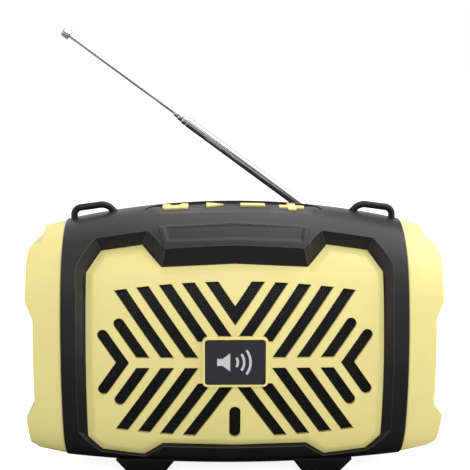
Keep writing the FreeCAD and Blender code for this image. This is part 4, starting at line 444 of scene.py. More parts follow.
CONTROL_TILT = math.radians(7.5)
CONTROL_FRAME = Matrix.Translation((0, 0, 132.0 * MM)) @ Matrix.Rotation(CONTROL_TILT, 4, "X")
CONTROL_CROWN = 634.0 * MM  # radius of the crowned floor under the keys
CONTROL_REAR = 5.0 * MM
CONTROL_REAR_ARC = 450.0 * MM  # radius of the crescent's back wall, seen from above
HOOK_START = 32.0 * MM  # where the back wall begins to curl forwards
HOOK_REACH = 11.7 * MM
HOOK_DROP = 10.5 * MM
END_STEP = 0.55 * MM  # height of the wall at the crescent's tips
END_RUN = 6.0 * MM
END_CLEAR = 0.3 * MM  # how far the tips' floor rises past the roof
TIP_START = 34 * MM  # where the crowned floor begins to go over to the tips'
TIP_BLEND = 8 * MM
PLATE_DEPTH = 3.2 * MM
PLATE_FRONT = -13.4 * MM
KEYS_FRONT = -34 * MM  # depth at which the cut over the keys ends, in the open


def column(radius, start, length, along, sides=48):
    """A cylinder from a start point along X or Y."""
    turn, way = {"X": ((0, math.pi / 2, 0), (1, 0, 0)), "Y": ((-math.pi / 2, 0, 0), (0, 1, 0))}[along]
    made = new_mesh(
        bpy.ops.mesh.primitive_cylinder_add, vertices=sides, radius=radius, depth=length, rotation=turn)
    made.data.transform(Matrix.Translation(Vector(start) + Vector(way) * length / 2))
    return made


def roof_height(x, y):
    """Height of the barrel's roof at x and y."""
    centre, radius = section_centres(x)
    way = (centre["brow"] - centre["roof"]).normalized()
    name = "brow" if y < centre["roof"].x + way.x * radius["roof"] else "roof"
    return centre[name].y + math.sqrt(max(radius[name] ** 2 - (y - centre[name].x) ** 2, 0.0))


def recess_rear(x):
    """Depth of the crescent's back wall at x: a long arc whose ends curl forwards."""
    past = min(max(abs(x) - HOOK_START, 0) / HOOK_REACH, 1)
    return CONTROL_REAR - x * x / (2 * CONTROL_REAR_ARC) - HOOK_DROP * (1 - math.sqrt(1 - past * past))


def keys_floor(x, y):
    """Height of the floor under the keys: crowned, and running out to the roof at both tips."""
    crowned = CONTROL_FRAME.translation.z + y * math.tan(CONTROL_TILT) - x * x / (2 * CONTROL_CROWN)
    run_out = eased((recess_rear(x) - y) / END_RUN)
    shallow = roof_height(x, y) - END_STEP * (1 - run_out) + END_CLEAR * run_out
    return crowned + (shallow - crowned) * eased((abs(x) - TIP_START) / TIP_BLEND)


def keys_recess():
    """What is cut over the keys: all that is above the floor and in front of the back wall."""
    reach = HOOK_START + HOOK_REACH
    made = new_mesh(bpy.ops.mesh.primitive_grid_add, x_subdivisions=160, y_subdivisions=50, size=2)
    for point in made.data.vertices:
        x = reach * math.sin(point.co.x * math.pi / 2)
        rear = recess_rear(x)
        y = rear + (KEYS_FRONT - rear) * ((1 - point.co.y) / 2) ** 1.3
        point.co = (x, y, keys_floor(x, y))
    return extruded(made, (0, 0, 20 * MM))


def plate_bed(gap, low=-PLATE_DEPTH):
    """The control panel's plan as a block down to its underside or lower, its back drawn in by a gap."""
    reach = HOOK_START + HOOK_REACH - 0.4 * MM
    steps = [reach * math.sin(step / 40 * math.pi / 2) for step in range(-40, 41)]
    back = [(x, recess_rear(x) - gap) for x in reversed(steps)]
    made = upright([(-reach, PLATE_FRONT), (reach, PLATE_FRONT)] + back, low, 10 * MM)
    made.data.transform(CONTROL_FRAME)
    return made


def upright(outline, low, high):
    """A solid between two heights over a closed outline of (x, y) points."""
    made = prism([(x, -y) for x, y in outline], low, high)
    made.data.transform(Matrix.Rotation(math.pi / 2, 4, "X"))
    return made


GRAIN_SCALE = 2200


def moulded_grain():
    """Shader effect of moulded plastic: the fine grain of the mould and a faint uneven tone."""
    group = bpy.data.node_groups.new("moulded_grain", "ShaderNodeTree")
    sockets = group.interface
    given = sockets.new_socket("Grain Scale", in_out="INPUT", socket_type="NodeSocketFloat")
    given.default_value = GRAIN_SCALE
    sockets.new_socket("Height", in_out="OUTPUT", socket_type="NodeSocketFloat")
    sockets.new_socket("Tone", in_out="OUTPUT", socket_type="NodeSocketFloat")
    nodes = group.nodes
    scale = nodes.new("NodeGroupInput").outputs["Grain Scale"]
    place = nodes.new("ShaderNodeTexCoord").outputs["Object"]
    grain = shade(nodes, "ShaderNodeTexNoise", {
        "Vector": place, "Scale": scale, "Detail": 3.0, "Roughness": 0.6})
    pits = shade(nodes, "ShaderNodeTexVoronoi", {"Vector": place, "Scale": scale}, feature="SMOOTH_F1")
    tone = shade(nodes, "ShaderNodeTexNoise", {"Vector": place, "Scale": 35.0, "Detail": 4.0})
    height = shade(nodes, "ShaderNodeMath", {
        0: pits.outputs["Distance"], 1: 0.5, 2: grain.outputs["Fac"]}, operation="MULTIPLY_ADD")
    shade(nodes, "NodeGroupOutput", {"Height": height, "Tone": tone.outputs["Fac"]})
    return group


GRAIN = moulded_grain()


def moulded(name, colour, roughness, ior, spread=0.06, grain_depth=0.012 * MM, edge=0.35 * MM,
            grain_scale=GRAIN_SCALE, edge_highlight_tone=None):
    """A moulded plastic: its colour, a wandering roughness, its grain, soft edges and perhaps a painted
    highlight on them.
    """
    material, nodes = new_material(name)
    effect = shade(nodes, "ShaderNodeGroup", {"Grain Scale": grain_scale}, node_tree=GRAIN)
    dark, light = ([c * part for c in colour] + [1] for part in (0.94, 1.05))
    tint = shade(nodes, "ShaderNodeMix", {
        "Factor": effect.outputs["Tone"], "A": dark, "B": light}, data_type="RGBA")
    base = tint.outputs["Result"]
    gloss = shade(nodes, "ShaderNodeMapRange", {
        "Value": effect.outputs["Tone"], "To Min": roughness - spread, "To Max": roughness + spread})
    soft = shade(nodes, "ShaderNodeBevel", {"Radius": edge}, samples=6)
    bump = shade(nodes, "ShaderNodeBump", {
        "Strength": 1.0, "Distance": grain_depth, "Height": effect.outputs["Height"], "Normal": soft})
    # Painted highlight: where the rounded normal turns from the face, the base colour goes towards a pale
    # grey, standing in for light caught on the edges.
    if edge_highlight_tone is not None:
        flat = nodes.new("ShaderNodeNewGeometry").outputs["Normal"]
        turned = shade(nodes, "ShaderNodeVectorMath", {0: flat, 1: soft}, operation="DOT_PRODUCT")
        edge_highlight_mask = shade(nodes, "ShaderNodeMapRange", {
            "Value": turned.outputs["Value"], "From Min": 0.995, "From Max": 0.93})
        painted_edge_highlight = shade(nodes, "ShaderNodeMix", {
            "Factor": edge_highlight_mask, "A": base, "B": grey(edge_highlight_tone)}, data_type="RGBA")
        base = painted_edge_highlight.outputs["Result"]
    shader = shade(nodes, "ShaderNodeBsdfPrincipled", {
        "Base Color": base, "Roughness": gloss, "IOR": ior, "Normal": bump})
    shade(nodes, "ShaderNodeOutputMaterial", {"Surface": shader})
    return material


# Its edges carry a painted highlight of pale grey.
BLACK_SATIN = moulded("black_satin", (0.014, 0.014, 0.015), 0.40, 1.38, edge_highlight_tone=0.12)


def finished(obj, name, body, nodes, material, sharp=32):
    """Ends a piece: smooth but for sharp edges, with its material, body and the nodes it stands for."""
    obj.name = name
    obj.data.name = name
    only_select(obj)
    bpy.ops.object.shade_smooth_by_angle(angle=math.radians(sharp))
    modified(obj, "WEIGHTED_NORMAL", keep_sharp=True)
    obj.data.materials.clear()
    obj.data.materials.append(material)
    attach(obj, body)
    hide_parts(*nodes)


ROOT = 0.25 * MM  # how deep the brow's edge lies in the barrel
BROW_RISE = 1.0 * MM + ROOT
BROW_SINK = 0.55 * MM
BROW_MIDDLE = 120.5 * MM
BROW_GRID = (84 * MM, 19 * MM)


def brow():
    """The raised plate over the grille, with its sunk field."""
    outer = both_sides((0, 113.3), (34.4, 112.2), (37.6, 125.2), (0, 127.4))
    field = both_sides((0, 118.6), (32.6, 117.5), (34.4, 125.0), (0, 126.2))
    made = new_mesh(bpy.ops.mesh.primitive_grid_add, x_subdivisions=180, y_subdivisions=54, size=1)
    for point in made.data.vertices:
        x = point.co.x * BROW_GRID[0]
        z = BROW_MIDDLE + point.co.y * BROW_GRID[1]
        raised = BROW_RISE * eased(inside_by(outer, x, z) / (1.5 * MM))
        sunk = BROW_SINK * eased(inside_by(field, x, z) / (1.7 * MM))
        point.co = (x, front_depth(x, z, ROOT - (raised - sunk)), z)
    return extruded(made, (0, 2.0 * MM, -0.4 * MM))


def inside_by(outline, x, z):
    """How far a point lies inside a closed outline, below nought outside it."""
    nearest = 1.0
    inside = False
    for (x0, z0), (x1, z1) in zip(outline, outline[1:] + outline[:1]):
        run = (x1 - x0) ** 2 + (z1 - z0) ** 2
        part = min(max(((x - x0) * (x1 - x0) + (z - z0) * (z1 - z0)) / run, 0), 1)
        nearest = min(nearest, math.hypot(x - x0 - part * (x1 - x0), z - z0 - part * (z1 - z0)))
        if (z0 > z) != (z1 > z) and x < x0 + (z - z0) / (z1 - z0) * (x1 - x0):
            inside = not inside
    return nearest if inside else -nearest


def eased(part):
    """A smooth step from nought to one."""
    part = min(max(part, 0.0), 1.0)
    return part * part * (3 - 2 * part)


def within_shell(obj):
    """Trims what is joined to the shell, so that it ends inside the shell's wall."""
    return shape_with(obj, barrel(-SEAM, SEAM, 1 * MM), "INTERSECT")


FRAME_REACH = 6.5 * MM  # how far the frame under the grille goes past the grille's outline
FRAME_DEPTH = -15 * MM
LEDGE = 2.4 * MM  # thickness of the ledge behind the mesh
BAFFLE_REACH = 4 * MM
BAFFLE = (-25 * MM, -22.5 * MM)
DRIVER_OPENING = 25.5 * MM
DRIVER_PLACE = (36.5 * MM, 61.35 * MM)
SEAT_LEDGE = 3 * MM  # width of the ledge

front_shell = barrel(-SEAM, SEAM, slices=84)
shape_with(front_shell, barrel(WALL - SEAM, SEAM - WALL, WALL))
grille_frame = within_shell(prism(widened(GRILLE_OUTLINE, FRAME_REACH), -FAR, FRAME_DEPTH))
shape_with(grille_frame, barrel(-SEAM, SEAM, SEAT_INSET + LEDGE, RECESS_DROP))
shape_with(front_shell, grille_frame, "UNION")
baffle = within_shell(prism(widened(GRILLE_OUTLINE, BAFFLE_REACH), *BAFFLE))
for side in (-1, 1):
    driver_start = (side * DRIVER_PLACE[0], -30 * MM, DRIVER_PLACE[1])
    shape_with(baffle, column(DRIVER_OPENING, driver_start, 20 * MM, "Y"))
shape_with(front_shell, baffle, "UNION")
roof_block = block((-47 * MM, 47 * MM), (-16.4 * MM, 8 * MM), (-5.4 * MM, 20 * MM))
roof_block.data.transform(CONTROL_FRAME)
shape_with(front_shell, within_shell(roof_block), "UNION")
shape_with(front_shell, brow(), "UNION")
shape_with(front_shell, block((-FAR, FAR), (PARTING, FAR), (-FAR, FAR)))

bevel_outline = widened(GRILLE_OUTLINE, BEVEL_WIDTHS + BEVEL_WIDTHS[::-1])
recess = recess_plug(GRILLE_OUTLINE, bevel_outline)
shape_with(recess, barrel(-SEAM, SEAM, SEAT_INSET, RECESS_DROP))
shape_with(front_shell, recess)
seat_wall = prism(GRILLE_OUTLINE, -FAR, 0)
shape_with(seat_wall, barrel(-SEAM, SEAM, RIM_INSET, RECESS_DROP), "INTERSECT")
shape_with(seat_wall, barrel(-SEAM, SEAM, SEAT_INSET, RECESS_DROP))
shape_with(front_shell, seat_wall)
shape_with(front_shell, prism(widened(GRILLE_OUTLINE, -SEAT_LEDGE), -FAR, BAFFLE[0]))
shape_with(front_shell, keys_recess())
bed = plate_bed(0)
shape_with(bed, barrel(-SEAM, SEAM, -0.5 * MM), "INTERSECT")
shape_with(front_shell, bed)
key_window = plate_bed(0.5 * MM, -20 * MM)
window_ends = block((-35.9 * MM, 35.9 * MM), (-11.8 * MM, 8 * MM), (-19 * MM, 5 * MM))
window_ends.data.transform(CONTROL_FRAME)
shape_with(key_window, window_ends, "INTERSECT")
shape_with(front_shell, key_window)
finished(front_shell, "front_shell_skin", "cabinet", ["front_shell"], BLACK_SATIN)


# End caps: two cups of pale yellow satin plastic that close the barrel, each with a scooped upper corner and
# a waist. They lie a little below the line of the shells, and four screws hold each from inside the barrel.

CAP_END = 100.2 * MM
CAP_SINK = 0.45 * MM  # how far the caps lie inside the line of the shells
CAP_WALL = 2.2 * MM
CAP_CORNER = 3.0 * MM  # radius of the caps' upright corners
CAP_NIB = Vector((93.1 * MM, 121.4 * MM))
CAP_SCOOP = Vector((98.5 * MM, 114.6 * MM))
CAP_SHOULDER = Vector((99.5 * MM, 102.3 * MM))
SCOOP_BOW = Vector((1.7 * MM, 1.7 * MM))
BULGE_BOW = Vector((0.6 * MM, 0.6 * MM))
CAP_SIDE = in_mm((
    (99.5, 102.3), (99.5, 89.7), (95.9, 81.2), (95.9, 40.0), (100.2, 33.6), (99.7, 17.4), (97.3, 14.8),
    (95.3, 0)))
CAP_HOLLOW = in_mm((
    (80.0, 0), (93.2, 0), (93.4, 83.0), (96.8, 91.5), (96.8, 102.0), (95.2, 110.6), (90.8, 112.2),
    (88.6, 116.5), (88.6, 118.5), (80.0, 118.5)))
CAP_OPEN = 80 * MM  # where the outlines of the cap's plan start, inside the barrel
CAP_SCREWS = [(y * MM, z * MM) for y in (-22.0, 22.0) for z in (30.0, 100.0)]


def bowed(start, end, bow):
    """Points from start towards end, pushed out by a bow at the middle."""
    run = [step / 10 for step in range(10)]
    return [tuple(start.lerp(end, part) + 4 * part * (1 - part) * bow) for part in run]


def turned_about(centre, radius, start, stop, steps=8):
    """Points on an arc round a centre, between two angles in degrees."""
    angles = [math.radians(start + (stop - start) * step / steps) for step in range(steps + 1)]
    return [(centre[0] + math.cos(angle) * radius, centre[1] + math.sin(angle) * radius) for angle in angles]


def cap_form(inset, profile):
    """The right cap's outer or inner form: the barrel, its outline in front view and its plan."""
    made = barrel(SEAM - inset, CAP_END + 1 * MM, inset + CAP_SINK, slices=16)
    shape_with(made, prism(profile, -FAR, FAR), "INTERSECT")
    reach = max(x for x, z in profile) - CAP_CORNER
    fallen_end = fallen(PLAN_CROWN, CAP_END) + inset + CAP_SINK + CAP_CORNER
    near = FRONT_REACH - fallen_end
    back = REAR_REACH - fallen_end
    wide = 60 * MM
    plan = [(0, -wide), (CAP_OPEN, -wide)]
    plan += turned_about((reach, -near), CAP_CORNER, -90, 0)
    plan += turned_about((reach, back), CAP_CORNER, 0, 90)
    plan += [(CAP_OPEN, wide), (0, wide)]
    return shape_with(made, upright(plan, -FAR, FAR), "INTERSECT")


def softened(obj, voxel, rounds):
    """Gives a solid an even fine mesh and rounds its edges, as a mould does."""
    only_select(obj)
    obj.data.remesh_voxel_size = voxel
    bpy.ops.object.voxel_remesh()
    return modified(obj, "SMOOTH", factor=0.5, iterations=rounds)


def copied(obj):
    """A copy of an object, with its own mesh."""
    made = obj.copy()
    made.data = obj.data.copy()
    bpy.context.collection.objects.link(made)
    return made


def finished_pair(obj, side, what, node, material, sharp=32):
    """Ends a piece of one side and its mirror image on the other."""
    mirrored = copied(obj)
    mirrored.data.transform(Matrix.Scale(-1, 4, (1, 0, 0)))
    mirrored.data.flip_normals()
    other = "left" if side == "right" else "right"
    for made, hand in ((obj, side), (mirrored, other)):
        finished(made, f"{hand}_{what}_skin", "cabinet", [f"{hand}_{node}"], material, sharp)


YELLOW_SATIN = moulded("yellow_satin", (0.87, 0.77, 0.30), 0.42, 1.45, grain_depth=0.006 * MM, edge=0.5 * MM)

cap_outline = bowed(CAP_NIB, CAP_SCOOP, -SCOOP_BOW) + bowed(CAP_SCOOP, CAP_SHOULDER, BULGE_BOW)
cap_outline += CAP_SIDE + [(70 * MM, 0), (70 * MM, FAR), (CAP_NIB.x, FAR)]
right_cap = cap_form(0, cap_outline)
cap_space = cap_form(CAP_WALL, CAP_HOLLOW)
for y, z in CAP_SCREWS:
    shape_with(cap_space, column(3 * MM, (SEAM - 5 * MM, y, z), 30 * MM, "X"))
shape_with(right_cap, cap_space)
softened(right_cap, 0.6 * MM, 3)
finished_pair(right_cap, "right", "cap", "end_cap", YELLOW_SATIN, 60)


# Grille panel: one moulding of the same yellow plastic, with slanting slots, a sloped margin and a raised
# frame for the badge. It is pressed into the recess from the front and sits on the ledge behind it.

PANEL_GAP = 0.25 * MM
PANEL_RIM = widened(GRILLE_OUTLINE, -PANEL_GAP)
PANEL_RISE = 1.3 * MM  # from the rim's edge up to the face
PANEL_MARGIN = 3.8 * MM
PANEL_BACK = 5.0 * MM
PANEL_GRID = (144 * MM, 108 * MM)
SLOT_MIDDLE = 61.05 * MM
SLOT_HALF = 3.25 * MM
BAND_HALF = 2.35 * MM  # half the bar between the upper and the lower slots
SLOT_PITCH = 11.52 * MM
SLOT_FIRST = 55.13 * MM
SLOT_ANGLE = 55  # degrees from the level
SLOT_LEAN = 1 / math.tan(math.radians(SLOT_ANGLE))
SLOT_TURN = (90 - SLOT_ANGLE, 270 - SLOT_ANGLE)  # between which angles a slot's round end runs
SLOT_RISE = 38.35 * MM  # top of the slots at the middle, over the band
SLOT_SPREAD = 770.0 * MM  # the arc on which the slots end falls by x squared over this
CHEVRON_RISE = 13.2 * MM
SHORT_RISE = 18.6 * MM
HIDDEN_RISE = 10.0 * MM  # where the slots behind the badge start
POST_TOP = 39.1 * MM  # the upright slot on the middle, below the badge
POST_HALF = 2.7 * MM
BADGE_MIDDLE = 61.75 * MM
BADGE_FRAME = (31.4 * MM, 24.0 * MM)
BADGE_SIZE = (28.6 * MM, 21.6 * MM)
BADGE_PLAY = 0.2 * MM
BADGE_FRAME_FACE = -40.9 * MM
BADGE_FACE = -40.3 * MM
BADGE_BED = -39.0 * MM


def slot_line(reach, edge, rise):
    """Place on a slot's edge at a height over the middle."""
    return (-reach + edge - (rise - BAND_HALF) * SLOT_LEAN, rise)


def slot_end(reach, edge):
    """Where a slot's edge meets the arc."""
    rise = SLOT_RISE
    for _ in range(20):
        rise = SLOT_RISE - slot_line(reach, edge, rise)[0] ** 2 / SLOT_SPREAD
    return slot_line(reach, edge, rise)


def slot_outlines():
    """The slots of the left half, above and below the middle, and those on the middle."""
    round_radius = SLOT_HALF * math.sin(math.radians(SLOT_ANGLE))
    left = []
    for order in range(1, 6):
        reach = SLOT_FIRST - order * SLOT_PITCH
        low = BAND_HALF if order < 4 else HIDDEN_RISE
        outline = [slot_line(reach, -SLOT_HALF, low), slot_line(reach, SLOT_HALF, low)]
        if order == 1:
            outline += turned_about(slot_line(reach, 0, SHORT_RISE), round_radius, *SLOT_TURN)
        else:
            outline += [slot_end(reach, SLOT_HALF), slot_end(reach, -SLOT_HALF)]
        left += [outline, [(x, -rise) for x, rise in reversed(outline)]]
    tip = turned_about(slot_line(SLOT_FIRST, 0, CHEVRON_RISE), round_radius, *SLOT_TURN)
    upper = [slot_line(SLOT_FIRST, SLOT_HALF, 0)] + tip + [slot_line(SLOT_FIRST, -SLOT_HALF, 0)]
    left.append(upper + [(x, -rise) for x, rise in reversed(upper[1:-1])])
    reach = SLOT_FIRST - 6 * SLOT_PITCH
    vee_low, vee_high = ((edge - reach) / SLOT_LEAN + BAND_HALF for edge in (-SLOT_HALF, SLOT_HALF))
    arm = [(0, vee_high), slot_end(reach, SLOT_HALF), slot_end(reach, -SLOT_HALF), (0, vee_low)]
    vee = arm + [(-x, rise) for x, rise in reversed(arm[1:-1])]
    post = turned_about((0, POST_TOP - SLOT_MIDDLE - POST_HALF), POST_HALF, 0, 180)
    post += turned_about((0, POST_HALF - SLOT_RISE), POST_HALF, 180, 360)
    return left, [vee, post]


def rounded(width, height, corner, middle):
    """A rectangle with rounded corners about a middle height."""
    made = []
    for across, up, start in ((1, 1, 0), (-1, 1, 90), (-1, -1, 180), (1, -1, 270)):
        centre = (across * (width / 2 - corner), middle + up * (height / 2 - corner))
        made += turned_about(centre, corner, start, start + 90, 6)
    return made


def bevelled(obj, width, segments=3, angle=35):
    """Rounds the edges that are sharper than an angle."""
    return modified(obj, "BEVEL", width=width, segments=segments, limit_method="ANGLE",
                    angle_limit=math.radians(angle))


def joined(pieces):
    """One object from several."""
    only_select(pieces[0])
    for piece in pieces:
        piece.select_set(True)
    bpy.ops.object.join()
    return pieces[0]


def panel_blank():
    """The panel before its slots are cut, rising from its rim to its face."""
    made = new_mesh(bpy.ops.mesh.primitive_grid_add, x_subdivisions=190, y_subdivisions=140, size=1)
    back_shift = 1.0
    for point in made.data.vertices:
        x = point.co.x * PANEL_GRID[0]
        z = SLOT_MIDDLE + 2 * MM + point.co.y * PANEL_GRID[1]
        rise = PANEL_RISE * eased(inside_by(PANEL_RIM, x, z) / PANEL_MARGIN)
        point.co = (x, front_depth(x, z, RIM_INSET - rise, RECESS_DROP), z)
    extruded(made, (0, back_shift, 0))
    for point in made.data.vertices:
        if point.co.y > back_shift / 2:
            point.co.y = front_depth(point.co.x, point.co.z, PANEL_BACK, RECESS_DROP)
    return shape_with(made, prism(PANEL_RIM, -FAR, FAR), "INTERSECT")


grille_panel = panel_blank()
left_slots, middle_slots = slot_outlines()
right_slots = [[(-x, rise) for x, rise in reversed(outline)] for outline in left_slots]
cutters = [
    prism([(x, rise + SLOT_MIDDLE) for x, rise in outline], -FAR, 0)
    for outline in left_slots + right_slots + middle_slots]
shape_with(grille_panel, joined(cutters))
badge_frame = prism(rounded(*BADGE_FRAME, 2.8 * MM, BADGE_MIDDLE), BADGE_FRAME_FACE, -36.8 * MM)
shape_with(grille_panel, bevelled(badge_frame, 0.55 * MM), "UNION")
badge_bed = rounded(BADGE_SIZE[0] + BADGE_PLAY, BADGE_SIZE[1] + BADGE_PLAY, 1.5 * MM, BADGE_MIDDLE)
shape_with(grille_panel, prism(badge_bed, -FAR, BADGE_BED))
finished(grille_panel, "grille_panel_skin", "cabinet", ["grille_panel"], YELLOW_SATIN)


# Grille mesh: thin steel sheet with a honeycomb of small holes, painted black, laid behind the slots and held
# between the panel and the ledge of its recess.

MESH_PITCH = 1.38 * MM
MESH_LINE = 0.38 * MM  # width of the steel between two holes
MESH_INSET = PANEL_BACK + 0.05 * MM
MESH_THICKNESS = 0.4 * MM
MESH_EDGE = 0.4 * MM  # what lies nearer to the panel's rim, or past it, is cut off
MESH_COUNT = (56, 63)  # columns and rows of pairs of holes


def mesh_cell():
    """One hexagon of the sheet, open in the middle, with the hole's own walls."""
    made = new_mesh(
        bpy.ops.mesh.primitive_circle_add, vertices=6, radius=MESH_PITCH / math.sqrt(3), fill_type="NGON")
    mode("EDIT")
    bpy.ops.mesh.select_all(action="SELECT")
    bpy.ops.mesh.inset(thickness=MESH_LINE / 2)
    bpy.ops.mesh.extrude_region_move(TRANSFORM_OT_translate={"value": (0, 0, -MESH_THICKNESS)})
    bpy.ops.mesh.delete(type="FACE")
    mode("OBJECT")
    return made


def repeated(obj, count, step):
    """A row of copies of an object's mesh, welded."""
    return modified(obj, "ARRAY", count=count, use_relative_offset=False, use_constant_offset=True,
                    constant_offset_displace=step, use_merge_vertices=True, merge_threshold=0.01 * MM)


steel_mesh = mesh_cell()
second_cell = copied(steel_mesh)
row_step = MESH_PITCH * math.sqrt(3)
second_cell.data.transform(Matrix.Translation((row_step / 2, MESH_PITCH / 2, 0)))
joined([steel_mesh, second_cell])
repeated(steel_mesh, MESH_COUNT[0], (row_step, 0, 0))
repeated(steel_mesh, MESH_COUNT[1], (0, MESH_PITCH, 0))
centre = sum((Vector(corner) for corner in steel_mesh.bound_box), Vector()) / 8
for point in steel_mesh.data.vertices:
    x, up, depth = point.co - centre
    z = SLOT_MIDDLE + up
    point.co = (x, front_depth(x, z, MESH_INSET, RECESS_DROP) + (MESH_THICKNESS if depth < 0 else 0), z)
pick(steel_mesh, "VERT", steel_mesh.data.vertices,
     lambda point: inside_by(PANEL_RIM, point.co.x, point.co.z) < MESH_EDGE)
bpy.ops.mesh.delete(type="VERT")
mode("OBJECT")


def coated(name, colour, roughness, metallic=0.0, edge=0.15 * MM, grain_scale=5200, grain_depth=0.004 * MM):
    """A painted or plated surface, with a finer grain than a moulded one and, for metal, its shine."""
    made = moulded(name, colour, roughness, 1.45, 0.08, grain_depth, edge, grain_scale)
    made.node_tree.nodes["Principled BSDF"].inputs["Metallic"].default_value = metallic
    return made


MESH_PAINT = coated("mesh_paint", (0.017, 0.019, 0.024), 0.36)
finished(steel_mesh, "grille_mesh_skin", "cabinet", ["grille_mesh"], MESH_PAINT, 50)


# Badge: a dark grey plate glued into the panel's raised frame, with a printed loudspeaker sign.

BADGE_GREY = coated("badge_grey", (0.026, 0.027, 0.031), 0.3, grain_depth=0.002 * MM)
SIGN_GREY = coated("sign_grey", (0.60, 0.60, 0.62), 0.45)
badge_plate = prism(rounded(*BADGE_SIZE, 1.4 * MM, BADGE_MIDDLE), BADGE_FACE, BADGE_BED)
bevelled(badge_plate, 0.35 * MM)
finished(badge_plate, "badge_plate_skin", "cabinet", ["badge_plate"], BADGE_GREY)

SIGN_RISE = 0.12 * MM
SIGN_PIVOT = (-2.4 * MM, BADGE_MIDDLE)
SIGN_HALF_LINE = 0.6 * MM
horn = [(x, BADGE_MIDDLE + z) for x, z in in_mm((
    (-8.6, -1.7), (-6.0, -1.7), (-2.4, -4.4), (-2.4, 4.4), (-6.0, 1.7), (-8.6, 1.7)))]
signs = [prism(horn, BADGE_FACE - SIGN_RISE, BADGE_FACE)]
for radius in (3.6 * MM, 6.6 * MM, 9.6 * MM):
    outer = turned_about(SIGN_PIVOT, radius + SIGN_HALF_LINE, -37, 37, 14)
    inner = turned_about(SIGN_PIVOT, radius - SIGN_HALF_LINE, 37, -37, 14)
    signs.append(prism(outer + inner, BADGE_FACE - SIGN_RISE, BADGE_FACE))
finished(joined(signs), "badge_symbol_skin", "cabinet", ["badge_symbol"], SIGN_GREY)


# Control panel: a crowned plate of the same black plastic, flush with the floor of the recess in the roof.
# Four keys of the yellow plastic come up through it: a handset, a triangle, a bar and a cross.

KEY_RISE = 0.9 * MM
KEY_GAP = 0.25 * MM
KEY_EDGE = 0.35 * MM
CALL_SIZE = (12.8 * MM, 8.5 * MM)
KEY_PLACES = {"call_key": (-28.7 * MM, -1.5 * MM), "play_key": (-9.05 * MM, -0.4 * MM),
              "minus_key": (9.55 * MM, -0.4 * MM), "plus_key": (28.7 * MM, -2.8 * MM)}


def key_outlines():
    """The outline of each key in the control panel's frame."""
    wide, deep = CALL_SIZE
    corner = 1.2 * MM
    notch = [(2.9 * MM * math.cos(step * math.pi / 12), deep / 2 - 3.0 * MM * math.sin(step * math.pi / 12))
             for step in range(13)]
    call = [(corner - wide / 2, -deep / 2), (wide / 2 - corner, -deep / 2), (wide / 2, corner - deep / 2),
            (wide / 2, deep / 2)] + notch + [(-wide / 2, deep / 2), (-wide / 2, corner - deep / 2)]
    play = in_mm(((-4.4, -3.8), (4.4, 0), (-4.4, 3.8)))
    minus = in_mm(((-6.2, -2.1), (6.2, -2.1), (6.2, 2.1), (-6.2, 2.1)))
    plus = in_mm((
        (-2.1, -5.7), (2.1, -5.7), (2.1, -2.1), (6.2, -2.1), (6.2, 2.1), (2.1, 2.1), (2.1, 5.7), (-2.1, 5.7),
        (-2.1, 2.1), (-6.2, 2.1), (-6.2, -2.1), (-2.1, -2.1)))
    outlines = {"call_key": call, "play_key": play, "minus_key": minus, "plus_key": plus}
    return {name: [(KEY_PLACES[name][0] + x, KEY_PLACES[name][1] + y) for x, y in outlines[name]]
            for name in KEY_PLACES}


control_plate = plate_bed(0.3 * MM)
shape_with(control_plate, keys_recess())
shape_with(control_plate, barrel(-SEAM, SEAM), "INTERSECT")
for name, outline in key_outlines().items():
    opening = upright(widened(outline, KEY_GAP), -50 * MM, 50 * MM)
    opening.data.transform(CONTROL_FRAME)
    shape_with(control_plate, opening)
    key = upright(outline, -PLATE_DEPTH, 5 * MM)
    crown_start = (0, -60 * MM, KEY_RISE - CONTROL_CROWN)
    shape_with(key, column(CONTROL_CROWN, crown_start, 120 * MM, "Y", 720), "INTERSECT")
    bevelled(key, KEY_EDGE, 3, 40)
    key.data.transform(CONTROL_FRAME)
    finished(key, name + "_skin", name.replace("_key", "_button"), [name], YELLOW_SATIN)
finished(control_plate, "control_panel_skin", "cabinet", ["control_panel"], BLACK_SATIN)


# Strap loops: round black bars, bent over two shoulders, whose ends go into the roof near each end cap.

LOOP_BAR = 1.7 * MM


def bent_bar(points, radius, bend):
    """A round bar along straight runs whose corners are rounded."""
    path = bpy.data.curves.new("bar", "CURVE")
    path.dimensions = "3D"
    path.bevel_depth = radius
    path.bevel_resolution = 6
    path.use_fill_caps = True
    path.resolution_u = 12
    spline = path.splines.new("BEZIER")
    stops = [(Vector(points[0]), None)]
    for before, corner, after in zip(points, points[1:], points[2:]):
        corner = Vector(corner)
        for other in (before, after):
            way = Vector(other) - corner
            reach = min(bend, way.length * 0.45)
            stops.append((corner + way.normalized() * reach, corner))
    stops.append((Vector(points[-1]), None))
    spline.bezier_points.add(len(stops) - 1)
    for index, (place, corner) in enumerate(stops):
        knot = spline.bezier_points[index]
        knot.co = place
        knot.handle_left_type = knot.handle_right_type = "VECTOR" if corner is None else "FREE"
        if corner is not None:
            pull = place.lerp(corner, 0.55)
            knot.handle_left, knot.handle_right = (place, pull) if index % 2 else (pull, place)
    made = bpy.data.objects.new("bar", path)
    bpy.context.collection.objects.link(made)
    only_select(made)
    bpy.ops.object.convert(target="MESH")
    return bpy.context.object


LOOP_PATH = ((-78.8, 118.7), (-78.8, 130.6), (-62.8, 132.8), (-55.4, 125.4))
left_loop = bent_bar([(x, 0, z) for x, z in in_mm(LOOP_PATH)], LOOP_BAR, 3.0 * MM)
LOOP_BLACK = moulded("loop_black", (0.010, 0.010, 0.010), 0.40, 1.36)
finished_pair(left_loop, "left", "loop", "strap_loop", LOOP_BLACK, 60)


# Feet: two runners of matt black rubber, glued under the barrel, flared where they meet it.

